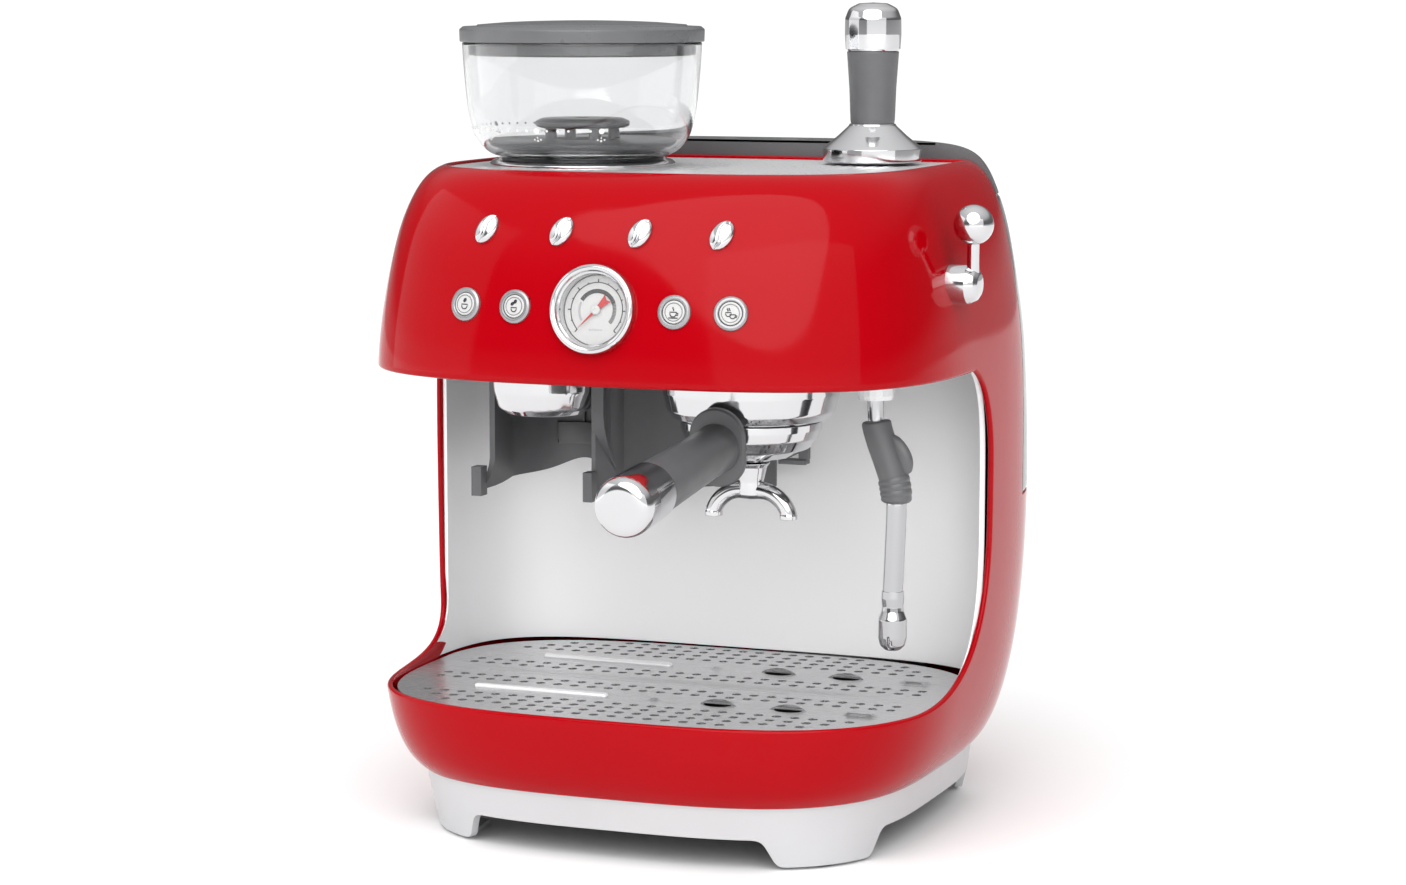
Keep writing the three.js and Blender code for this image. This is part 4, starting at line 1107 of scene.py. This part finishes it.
def cup_lines(kind):
    """Line icons: 0 one bean over a cup, 1 two beans over a cup, 2 a steaming cup, 3 two steaming cups"""
    lines = []

    def cup(cx, cy, size, handle=True):
        bowl = [(cx - size, cy + size * 0.55), (cx - size * 0.9, cy - size * 0.2), (cx - size * 0.45, cy - size * 0.75),
                (cx + size * 0.45, cy - size * 0.75), (cx + size * 0.9, cy - size * 0.2), (cx + size, cy + size * 0.55)]
        lines.append((bowl, True))
        if handle:
            lines.append(([(cx + size, cy + size * 0.3), (cx + size * 1.45, cy + size * 0.2),
                           (cx + size * 1.4, cy - size * 0.3), (cx + size * 0.85, cy - size * 0.3)], False))

    def bean(cx, cy, size, lean):
        t = np.linspace(0, 2 * math.pi, 14, endpoint=False)
        shape = np.stack([size * np.cos(t), size * 0.66 * np.sin(t)], 1) @ rotation(lean) + [cx, cy]
        lines.append((shape, True))
        crease = np.array([[-size * 0.8, 0], [0, size * 0.12], [size * 0.8, 0]])
        lines.append((crease @ rotation(lean) + [cx, cy], False))

    def steam(cx, cy, size):
        t = np.linspace(0, 1, 8)
        lines.append((np.stack([cx + 0.3 * np.sin(t * 6.28), cy + size * t], 1), False))

    if kind == 0:
        cup(0, -1.1, 1.7, False)
        bean(0, 1.9, 0.9, 60)
    elif kind == 1:
        cup(0, -1.5, 1.5, False)
        bean(-0.9, 1.2, 0.85, 40)
        bean(0.6, 2.3, 0.85, 60)
    elif kind == 2:
        cup(-0.2, -1.0, 1.7)
        steam(-0.2, 0.6, 1.7)
        lines.append(([(-2.4, -2.9), (2.2, -2.9)], False))
    else:
        cup(-1.0, -0.4, 1.4, False)
        cup(1.1, -1.4, 1.4)
        steam(-1.4, 0.9, 1.5)
        steam(-0.5, 1.1, 1.5)
    return lines


def button_icon(spot, kind):
    form = ribbon(arc_line(4.35, 0, 360, 60), 0.2)
    for line, closed in cup_lines(kind):
        form.join(ribbon(line, 0.5, closed))
    return on_panel(form, spot, 1.43)


BEAN_X, BEAN_Z = (-62.0, -20.7, 20.7, 62.0), 315.0


def bean_ornament(spot):
    """A polished coffee bean: half an egg with a curved groove along it"""
    rows = []
    for t in np.linspace(0, math.pi / 2, 22):
        row = []
        for a in np.linspace(0, 2 * math.pi, 80, endpoint=False):
            x, y = 8.0 * math.cos(t) * math.cos(a), 5.6 * math.cos(t) * math.sin(a)
            groove = y - 0.9 * math.sin(x * 0.42)
            dip = 1.5 * math.exp(-(groove / 0.75) ** 2)
            row.append((x, y, 0.2 + max(0.0, 3.6 * math.sin(t) ** 0.8 - dip * min(1, math.sin(t) * 2))))
        rows.append(row)
    skirt = [[(x, y, -0.6) for x, y, _ in rows[0]]]
    form = Form().grid(skirt + rows, loop=True).cap(rows[-1]).cap(skirt[0], True)
    return on_panel(form, spot, 0, math.radians(62))


# ---- steam side ----------------------------------------------------------------------------------------------
LEVER = (149.6, -25.7, 287.0)


def steam_lever():
    knob = lathe(rounded([(0, -5), (9.0, -5), (9.9, -3.6, 0.8), (9.9, 6.4, 0.8), (9.2, 8.2, 1), (7.9, 10.6, 2),
                          (5.4, 12.2, 2), (0, 12.8)], 6), 64)
    knob.turn([[0, 0, 1], [0, 1, 0], [-1, 0, 0]])
    root, ball = np.array([8.2, 0, 2.0]), np.array([10.6, -7.0, 30.2])
    arm = sweep([root + (ball - root) * t for t in np.linspace(0, 0.86, 12)],
                [3.4 - 0.4 * min(1, t * 3) for t in np.linspace(0, 1, 12)], 32)
    direction = (ball - root) / np.linalg.norm(ball - root)
    t = np.linspace(0, math.pi, 40)
    head = lathe(np.stack([10 * np.sin(t), -10 * np.cos(t)], 1), 64)
    across = np.cross(direction, [1, 0, 0])
    across /= np.linalg.norm(across)
    head.turn(np.stack([np.cross(across, direction), across, direction], 1)).move(*ball)
    return knob.join(arm).join(head).move(*LEVER)


def lever_ring():
    """The dark washer between the lever's knob and the body"""
    ring = lathe(rounded([(4.6, -6), (11.2, -6, 0.4), (11.2, -4.4, 0.4), (4.6, -4.4), (4.6, -6)]), 56)
    return ring.turn([[0, 0, 1], [0, 1, 0], [-1, 0, 0]]).move(*LEVER)


WAND = (114.0, -45.0)
WAND_LINE = [(0, 0, 230.5), (0, 0, 224), (0.6, 0, 217), (3.0, 0, 209), (6.2, 0, 200.5), (9.2, 0, 192), (10.9, 0, 184),
             (11.2, 0, 176), (10.9, 0, 164), (9.6, 0, 133.4)]


def wand_ball():
    t = np.linspace(0, math.pi, 36)
    return lathe(np.stack([5.6 * np.sin(t), 235.6 - 5.6 * np.cos(t)], 1), 56).move(*WAND, 0)


def wand_tube():
    line = smooth_line(WAND_LINE, 90)
    radii = np.interp(line[:, 2], [178, 186], [5.1, 4.1])
    return sweep(line, radii, 36).move(*WAND, 0)


def wand_grip():
    line = smooth_line(WAND_LINE, 200)
    line = line[(line[:, 2] < 219.5) & (line[:, 2] > 178.5)]
    ends = np.minimum(line[:, 2] - 178.5, 219.5 - line[:, 2])
    radii = 7.4 - 1.6 * np.clip(1 - ends / 1.6, 0, 1) ** 2 + 0.3 * np.clip((190 - line[:, 2]) / 10, 0, 1)
    grip = sweep(line, radii, 40)
    for z in (183.5, 186.5, 189.5):
        i = int(np.argmin(np.abs(line[:, 2] - z)))
        part = line[max(0, i - 3):i + 4]
        grip.join(sweep(part, 7.7 + 0.35 * np.sin(np.linspace(0, math.pi, len(part))), 40))
    tab = []
    for z in np.linspace(212.5, 193, 16):
        x = float(np.interp(z, line[::-1, 2], line[::-1, 0]))
        swell = math.sin(math.pi * (212.5 - z) / 19.5) ** 0.6
        ring = stadium(3.1, 0.1, 14)
        tab.append([(x + 4 + (4.4 + 5.2 * swell) * (u / 3.2 * 0.5 + 0.5), v * (0.5 + 0.5 * swell), z) for u, v in
                    np.stack([ring[:, 1], ring[:, 0]], 1)])
    tab = np.array(tab)
    grip.join(Form().grid(tab, loop=True).cap(tab[0]).cap(tab[-1], True))
    return grip.move(*WAND, 0)


def wand_tip():
    """The bulb with three steam slits in its nose"""
    profile = rounded([(0, 133.8), (5.5, 133.8), (5.7, 130, 1.5), (5.3, 126, 1), (5.6, 123.6, 1), (7.1, 119.6, 3),
                       (7.15, 110, 3), (6.2, 106.2, 2.4), (3.8, 103.9, 1.6), (0, 103.6)], 8)
    dense = resample(profile, 110)
    count = 144
    angles = np.linspace(0, 2 * math.pi, count, endpoint=False)
    rows = []
    for r, z in dense:
        low = np.clip((111.5 - z) / 0.8, 0, 1) * np.clip((z - 104.6) / 0.6, 0, 1)
        cut_in = 0
        for k in range(3):
            gap = np.angle(np.exp(1j * (angles - math.radians(-90 + 120 * k)))) * r
            cut_in = cut_in + np.exp(-(gap / 0.55) ** 4)
        depth = r - 1.3 * low * cut_in
        rows.append(np.stack([depth * np.cos(angles), depth * np.sin(angles), np.full(count, z)], 1))
    return Form().grid(rows, loop=True).move(WAND[0] + 9.6, WAND[1], 0)


def wand_socket():
    return lathe(rounded([(5.9, 235.2), (7.6, 235.0, 0.6), (8.6, 236.4, 0.8), (8.8, 241.6), (5.9, 241.6)], 6), 64
                 ).move(*WAND, 0)


# ---- tamper, feet --------------------------------------------------------------------------------------------
TAMPER = (80.4, 46.0, 343.1)


def tamper_base():
    return lathe(rounded([(0, 0), (25, 0, 0.3), (25.8, 0.8, 0.3), (25.8, 7.0, 0.6), (24.6, 8.2, 0.6), (24, 8.8, 0.4),
                          (18, 13.6, 8), (12.4, 18.8, 3), (12.0, 19.8, 0.4), (0, 19.8)], 8), 128).move(*TAMPER)


def tamper_handle():
    return lathe(rounded([(0, 19.9), (11.3, 19.9, 0.4), (11.6, 22, 1), (12.2, 38, 20), (13.5, 56.6, 0.5),
                          (13.3, 57.3, 0.4), (0, 57.3)], 8), 96).move(*TAMPER)


def tamper_cap():
    return lathe(rounded([(0, 57.5), (13.6, 57.5, 0.3), (14.2, 58.4, 0.5), (14.7, 66, 8), (14.6, 74.2, 5),
                          (12.6, 79.4, 5), (7.4, 82.0, 4), (0, 82.4)], 10), 112).move(*TAMPER)


FEET = [(-98, -80), (98, -80), (-98, 112), (98, 112)]


def foot_pad(x, y):
    form = lathe(rounded([(0, 0.2), (6.9, 0.2), (7.5, 0.7, 0.3), (7.5, 1.9), (0, 1.9)]), 48)
    return form.move(x, y, 0)


# ---- materials -----------------------------------------------------------------------------------------------
class Surface:
    """A shader with uneven roughness and a fine relief, in the object's own coordinates"""

    def __init__(self, name, color, metallic, roughness):
        self.material = bpy.data.materials.new(name)
        self.material.use_nodes = True
        self.tree = self.material.node_tree
        self.shader = self.tree.nodes["Principled BSDF"]
        self.color = color
        self.set("Base Color", (*color, 1))
        self.set("Metallic", metallic)
        self.roughness = roughness
        self.set("Roughness", roughness)
        self.place = self.node("ShaderNodeTexCoord").outputs["Object"]

    def node(self, kind, **settings):
        made = self.tree.nodes.new(kind)
        for key, value in settings.items():
            setattr(made, key, value)
        return made

    def set(self, socket, value):
        self.shader.inputs[socket].default_value = value
        return self

    def link(self, output, target):
        self.tree.links.new(output, target)

    def noise(self, size, stretch, detail=3.0):
        """Noise whose grain is about size millimetres, drawn out by stretch along each axis"""
        mapping = self.node("ShaderNodeMapping")
        mapping.inputs["Scale"].default_value = [1 / s for s in stretch]
        self.link(self.place, mapping.inputs["Vector"])
        noise = self.node("ShaderNodeTexNoise")
        noise.inputs["Scale"].default_value = 1 / (size * MM)
        noise.inputs["Detail"].default_value = detail
        self.link(mapping.outputs["Vector"], noise.inputs["Vector"])
        return noise.outputs["Fac"]

    def spread(self, value, low, high):
        """Maps the middle of the noise's range to low and high"""
        ranged = self.node("ShaderNodeMapRange")
        for socket, number in (("From Min", 0.3), ("From Max", 0.7), ("To Min", low), ("To Max", high)):
            ranged.inputs[socket].default_value = number
        self.link(value, ranged.inputs["Value"])
        return ranged.outputs["Result"]

    def uneven(self, amount, size, stretch=(1, 1, 1)):
        value = self.spread(self.noise(size, stretch), self.roughness - amount, self.roughness + amount)
        self.link(value, self.shader.inputs["Roughness"])
        return self

    def tinted(self, amount, size):
        """The colour varies in brightness by this share"""
        mix = self.node("ShaderNodeMix", data_type="RGBA")
        dark = [c * (1 - amount) for c in self.color]
        bright = [min(1, c * (1 + amount)) for c in self.color]
        mix.inputs[6].default_value = (*dark, 1)
        mix.inputs[7].default_value = (*bright, 1)
        self.link(self.spread(self.noise(size, (1, 1, 1)), 0, 1), mix.inputs[0])
        self.link(mix.outputs[2], self.shader.inputs["Base Color"])
        return self

    def relief(self, height, size, stretch=(1, 1, 1)):
        """Bumps height millimetres high"""
        bump = self.node("ShaderNodeBump")
        bump.inputs["Distance"].default_value = height * MM
        bump.inputs["Strength"].default_value = 1.0
        self.link(self.noise(size, stretch, 2.0), bump.inputs["Height"])
        self.link(bump.outputs["Normal"], self.shader.inputs["Normal"])
        return self


# key: name, colour, metallic, roughness, (socket, value) pairs, uneven, relief and tinted
def surfaces():
    return {
        "red": ("red_enamel", (0.345, 0.0001, 0.0035), 0.0, 0.08, (("IOR", 1.22),),
                (("uneven", 0.03, 30), ("relief", 0.004, 2.6), ("tinted", 0.02, 90))),
        "silver": ("silver_paint", (0.56, 0.57, 0.58), 0.45, 0.34, (),
                   (("uneven", 0.04, 25), ("tinted", 0.015, 60))),
        "steel": ("brushed_steel", (0.78, 0.78, 0.79), 0.6, 0.34, (),
                  (("uneven", 0.07, 0.5, (60, 1, 1)), ("relief", 0.006, 0.35, (60, 1, 1)))),
        "panel": ("splash_steel", (0.93, 0.925, 0.93), 0.08, 0.40, (),
                  (("uneven", 0.05, 0.6, (70, 70, 1)), ("relief", 0.004, 0.4, (70, 70, 1)))),
        "grille": ("grille_steel", (0.52, 0.52, 0.53), 0.75, 0.26, (),
                   (("uneven", 0.04, 0.5, (50, 1, 1)), ("relief", 0.0012, 0.4, (50, 1, 1)))),
        "chrome": ("chrome", (0.64, 0.64, 0.65), 1.0, 0.085, (),
                   (("uneven", 0.02, 14), ("relief", 0.002, 3))),
        "pipe": ("wand_steel", (0.46, 0.46, 0.47), 1.0, 0.10, (),
                 (("uneven", 0.02, 14), ("relief", 0.002, 3))),
        "grey": ("grey_plastic", (0.105, 0.106, 0.110), 0.0, 0.36, (),
                 (("uneven", 0.05, 20), ("relief", 0.005, 0.5), ("tinted", 0.03, 6))),
        "lid": ("lid_plastic", (0.115, 0.118, 0.122), 0.0, 0.30, (),
                (("uneven", 0.05, 24), ("relief", 0.004, 0.5), ("tinted", 0.03, 8))),
        "dark": ("dark_plastic", (0.022, 0.022, 0.024), 0.0, 0.42, (),
                 (("uneven", 0.06, 12), ("relief", 0.012, 0.6), ("tinted", 0.08, 1.0))),
        "satin": ("satin_steel", (0.36, 0.36, 0.37), 0.8, 0.32, (),
                  (("uneven", 0.05, 0.6, (12, 1, 1)), ("relief", 0.001, 0.4, (12, 1, 1)))),
        # The ribs are the grille's own steel in a lighter, less metallic copy: a painted highlight for the bright bars
        # along them
        "rib": ("rib_steel_painted_highlight", (0.85, 0.85, 0.86), 0.3, 0.25, (),
                (("uneven", 0.05, 0.6, (40, 1, 1)), ("relief", 0.001, 0.4, (40, 1, 1)))),
        "rubber": ("rubber", (0.018, 0.018, 0.018), 0.0, 0.75, (),
                   (("uneven", 0.08, 5), ("relief", 0.03, 0.8))),
        "white": ("white_face", (0.50, 0.50, 0.495), 0.0, 0.35, (),
                  (("uneven", 0.05, 6), ("tinted", 0.02, 3))),
        "ink": ("ink", (0.012, 0.012, 0.013), 0.0, 0.5, (),
                (("uneven", 0.1, 1.5), ("tinted", 0.2, 0.6))),
        "shade": ("grey_ink", (0.33, 0.33, 0.34), 0.0, 0.5, (),
                  (("uneven", 0.1, 1.5), ("tinted", 0.1, 0.6))),
        "pale": ("white_ink", (0.78, 0.78, 0.77), 0.0, 0.45, (),
                 (("uneven", 0.08, 1.5), ("tinted", 0.05, 0.6))),
        "needle": ("red_plastic", (0.42, 0.004, 0.006), 0.0, 0.32, (),
                   (("uneven", 0.05, 2), ("tinted", 0.05, 2))),
        "copper": ("copper", (0.60, 0.28, 0.18), 1.0, 0.30, (),
                   (("uneven", 0.1, 12), ("tinted", 0.2, 18))),
        "board": ("board_green", (0.01, 0.12, 0.04), 0.0, 0.35, (),
                  (("uneven", 0.08, 4), ("tinted", 0.3, 3), ("relief", 0.05, 2))),
        "glass": ("gauge_glass", (0.9, 0.9, 0.9), 0.0, 0.04, (("Alpha", 0.04),),
                  (("uneven", 0.02, 20), ("relief", 0.002, 8))),
        "clear": ("clear_plastic", (0.88, 0.885, 0.89), 0.0, 0.03, (("IOR", 1.47), ("Transmission Weight", 1.0),),
                  (("uneven", 0.015, 30), ("relief", 0.004, 8))),
        "smoke": ("smoked_plastic", (0.30, 0.31, 0.33), 0.0, 0.10, (("IOR", 1.47), ("Transmission Weight", 0.85),),
                  (("uneven", 0.04, 30), ("relief", 0.006, 8))),
    }


def materials():
    made = {}
    for key, (name, color, metallic, roughness, sockets, steps) in surfaces().items():
        surface = Surface(name, color, metallic, roughness)
        for socket, value in sockets:
            surface.set(socket, value)
        for step, *numbers in steps:
            getattr(surface, step)(*numbers)
        made[key] = surface.material
    return made


# ---- assembly ------------------------------------------------------------------------------------------------
MADE = materials()


def build():
    m = MADE
    openings = [(GAUGE[0], 18.0)] + [(panel_spot(x)[0], 6.2) for x in BUTTON_X]
    piece("shell", clear_under(body_shell(), openings), "machine", m["red"], ["body_shell"], crease=40)
    piece("splash_steel", splash_panel(), "machine", m["panel"], ["splash_panel"])
    piece("ceiling", bay_ceiling(), "machine", m["grey"], ["head_liner"])
    piece("plinth", plinth(), "machine", m["silver"], ["plinth_frame"], crease=40)
    piece("tank", water_tank(), "tank", m["smoke"], ["water_tank"], crease=45)
    piece("tank_top", tank_lid(), "tank_cover", m["lid"], ["tank_lid"], crease=40)
    piece("cup_plate", cup_warmer(), "machine", m["steel"], ["cup_warmer_plate"], crease=60)
    piece("hopper_ring", hopper_collar(), "machine", m["chrome"])
    piece("grille", drip_grille(), "grille", m["grille"], ["drip_grille"], crease=40)
    # The ribs carry the lighter copy of the grille's steel, a painted highlight
    piece("grille_ribs", grille_ribs(), "grille", m["rib"])
    piece("tray", drip_tray(), "tray", m["dark"], ["drip_tray"])
    piece("bowl", hopper_bowl(), "hopper", m["clear"], ["hopper_bowl"], crease=45)
    piece("bowl_scale", hopper_scale(), "hopper", m["pale"])
    piece("guard", finger_guard(), "hopper", m["grey"], ["finger_guard"])
    piece("hopper_top", hopper_lid(), "hopper_cover", m["lid"], ["hopper_lid"])
    piece("group", group_head(), "machine", m["chrome"], ["group_head"])
    piece("filter_holder", portafilter_body(), "portafilter", m["chrome"], ["portafilter_body"])
    piece("filter_grip", portafilter_handle(), "portafilter", m["grey"], ["portafilter_handle"])
    piece("grip_cap", handle_cap(), "portafilter", m["chrome"], ["handle_cap"])
    piece("twin_spout", spout(), "portafilter", m["chrome"], ["spout"])
    piece("lock_tab", lock_tab(), "portafilter", m["grey"], bevel=0.6)
    piece("outlet", outlet_collar(), "machine", m["chrome"], ["outlet_collar"])
    piece("cradle", cradle(), "machine", m["grey"], ["portafilter_cradle"], bevel=0.5)
    piece("surround", group_surround(), "machine", m["grey"], ["group_surround"], bevel=0.5)
    piece("gauge_ring", gauge_bezel(), "machine", m["chrome"], ["gauge_bezel"])
    piece("dial", gauge_dial(), "machine", m["white"], ["gauge_dial"])
    piece("dial_marks", gauge_marks(), "machine", m["ink"], weld=0)
    piece("dial_shades", gauge_shades(), "machine", m["shade"], weld=0)
    piece("needle", gauge_needle(), "needle", m["needle"], ["gauge_needle"])
    piece("needle_hub", needle_hub(), "needle", m["white"])
    piece("glass", gauge_lens(), "machine", m["glass"], ["gauge_lens"])
    for i, x in enumerate(BUTTON_X):
        spot = panel_spot(x)
        n = i + 1
        piece(f"key_ring_{n}", button_ring(spot), "machine", m["satin"], [f"button_ring_{n}"])
        piece(f"key_{n}", push_button(spot), f"push_{n}", m["white"], [f"button_{n}"])
        piece(f"key_icon_{n}", button_icon(spot, i), f"push_{n}", m["ink"], weld=0)
    for i, x in enumerate(BEAN_X):
        piece(f"bean_{i + 1}", bean_ornament(panel_spot(x, BEAN_Z)), "machine", m["chrome"],
              [f"bean_ornament_{i + 1}"])
    piece("steam_knob", steam_lever(), "lever", m["chrome"], ["steam_lever"])
    piece("knob_washer", lever_ring(), "machine", m["dark"])
    piece("wand_knuckle", wand_ball(), "wand_swivel", m["pipe"], ["wand_ball"])
    piece("wand_pipe", wand_tube(), "steam_wand", m["pipe"], ["wand_tube"])
    piece("wand_sleeve", wand_grip(), "steam_wand", m["grey"], ["wand_grip"])
    piece("wand_nose", wand_tip(), "steam_wand", m["pipe"], ["wand_tip"])
    piece("wand_cup", wand_socket(), "machine", m["pipe"])
    piece("tamper_foot", tamper_base(), "tamper", m["chrome"], ["tamper_base"])
    piece("tamper_grip", tamper_handle(), "tamper", m["grey"], ["tamper_handle"])
    piece("tamper_top", tamper_cap(), "tamper", m["chrome"], ["tamper_cap"])
    for i, (x, y) in enumerate(FEET):
        piece(f"pad_{i + 1}", foot_pad(x, y), "machine", m["rubber"], [f"foot_pad_{i + 1}"])


CARRIED = {
    "base_plate": "dark", "tank_dock": "dark", "grinder_housing": "dark", "power_inlet": "dark",
    "shower_screen": "steel", "filter_basket": "steel", "grinder_motor": "steel",
    "grinding_burr": "steel", "pump": "steel", "steam_valve": "steel", "boiler": "copper", "control_board": "board",
}


def dress_carried_nodes():
    for node, name in CARRIED.items():
        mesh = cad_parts[node].data
        mesh.materials.clear()
        mesh.materials.append(MADE[name])


# ---- studio --------------------------------------------------------------------------------------------------
CAMERA_PLACE = (675.529, -1698.645, 433.871)
CAMERA_AXES = np.array([(0.929908, 0.367792, 0), (-0.047197, 0.119330, 0.991732), (0.364751, -0.922220, 0.128325)]).T
LENS, SENSOR = 90.306, 36
FLOOR = 6000


def camera():
    data = bpy.data.cameras.new("camera")
    data.lens = LENS
    data.sensor_width = SENSOR
    made = bpy.data.objects.new("camera", data)
    matrix = np.eye(4)
    matrix[:3, :3] = CAMERA_AXES
    matrix[:3, 3] = np.array(CAMERA_PLACE) * MM + ORIGIN
    made.matrix_world = Matrix(matrix.tolist())
    place_in_scene(made)
    bpy.context.scene.camera = made


def place_in_scene(made):
    bpy.context.scene.collection.objects.link(made)


def soft_box(name, place, target, width, height, power):
    data = bpy.data.lights.new(name, "AREA")
    data.shape = "RECTANGLE"
    data.size, data.size_y = width * MM, height * MM
    data.energy = power
    made = bpy.data.objects.new(name, data)
    aim = Vector(target) - Vector(place)
    made.location = Vector(place) * MM + Vector(ORIGIN)
    made.rotation_euler = aim.to_track_quat("-Z", "Y").to_euler()
    place_in_scene(made)


def studio():
    f = FLOOR
    floor = Form().grid([[(-f, -f, 0), (f, -f, 0)], [(-f, f, 0), (f, f, 0)]])
    mesh = bpy.data.meshes.new("floor")
    mesh.from_pydata((floor.array() * MM).tolist(), [], floor.faces)
    made = bpy.data.objects.new("floor", mesh)
    paper = Surface("paper", (0.92, 0.92, 0.92), 0, 0.8)
    mesh.materials.append(paper.tinted(0.01, 300).material)
    place_in_scene(made)
    soft_box("left", (-2350, -850, 900), (0, 0, 250), 2900, 2300, 17)
    soft_box("right", (1500, -2200, 900), (0, 0, 250), 4600, 2300, 27)
    sun = bpy.data.lights.new("sky", "SUN")
    sun.energy = 2.7
    sun.angle = math.radians(70)
    made = bpy.data.objects.new("sky", sun)
    made.rotation_euler = (math.radians(48), 0, math.radians(14))
    place_in_scene(made)
    world = bpy.data.worlds.new("studio")
    bpy.context.scene.world = world
    world.use_nodes = True
    tree = world.node_tree
    place = tree.nodes.new("ShaderNodeTexCoord")
    split = tree.nodes.new("ShaderNodeSeparateXYZ")
    ramp = tree.nodes.new("ShaderNodeValToRGB")
    for position, level in ((0.0, 0.5), (0.06, 0.14), (0.3, 0.18), (0.5, 0.6), (1.0, 0.85)):
        stop = ramp.color_ramp.elements.new(position)
        stop.color = (level, level, level * 1.01, 1)
    ramp.color_ramp.elements.remove(ramp.color_ramp.elements[0])
    ramp.color_ramp.elements.remove(ramp.color_ramp.elements[-1])
    # The camera and clear parts see a white backdrop; reflections and light come from the grey ramp
    path = tree.nodes.new("ShaderNodeLightPath")
    mix = tree.nodes.new("ShaderNodeMix")
    mix.data_type = "RGBA"
    mix.inputs[7].default_value = (1.05, 1.05, 1.05, 1)
    tree.links.new(place.outputs["Generated"], split.inputs[0])
    tree.links.new(split.outputs["Z"], ramp.inputs[0])
    tree.links.new(ramp.outputs["Color"], mix.inputs[6])
    seen = tree.nodes.new("ShaderNodeMath")
    seen.operation = "MAXIMUM"
    tree.links.new(path.outputs["Is Camera Ray"], seen.inputs[0])
    tree.links.new(path.outputs["Is Transmission Ray"], seen.inputs[1])
    tree.links.new(seen.outputs[0], mix.inputs[0])
    tree.links.new(mix.outputs[2], tree.nodes["Background"].inputs["Color"])
    bpy.context.scene.view_settings.view_transform = "Standard"


build()
dress_carried_nodes()
studio()
camera()
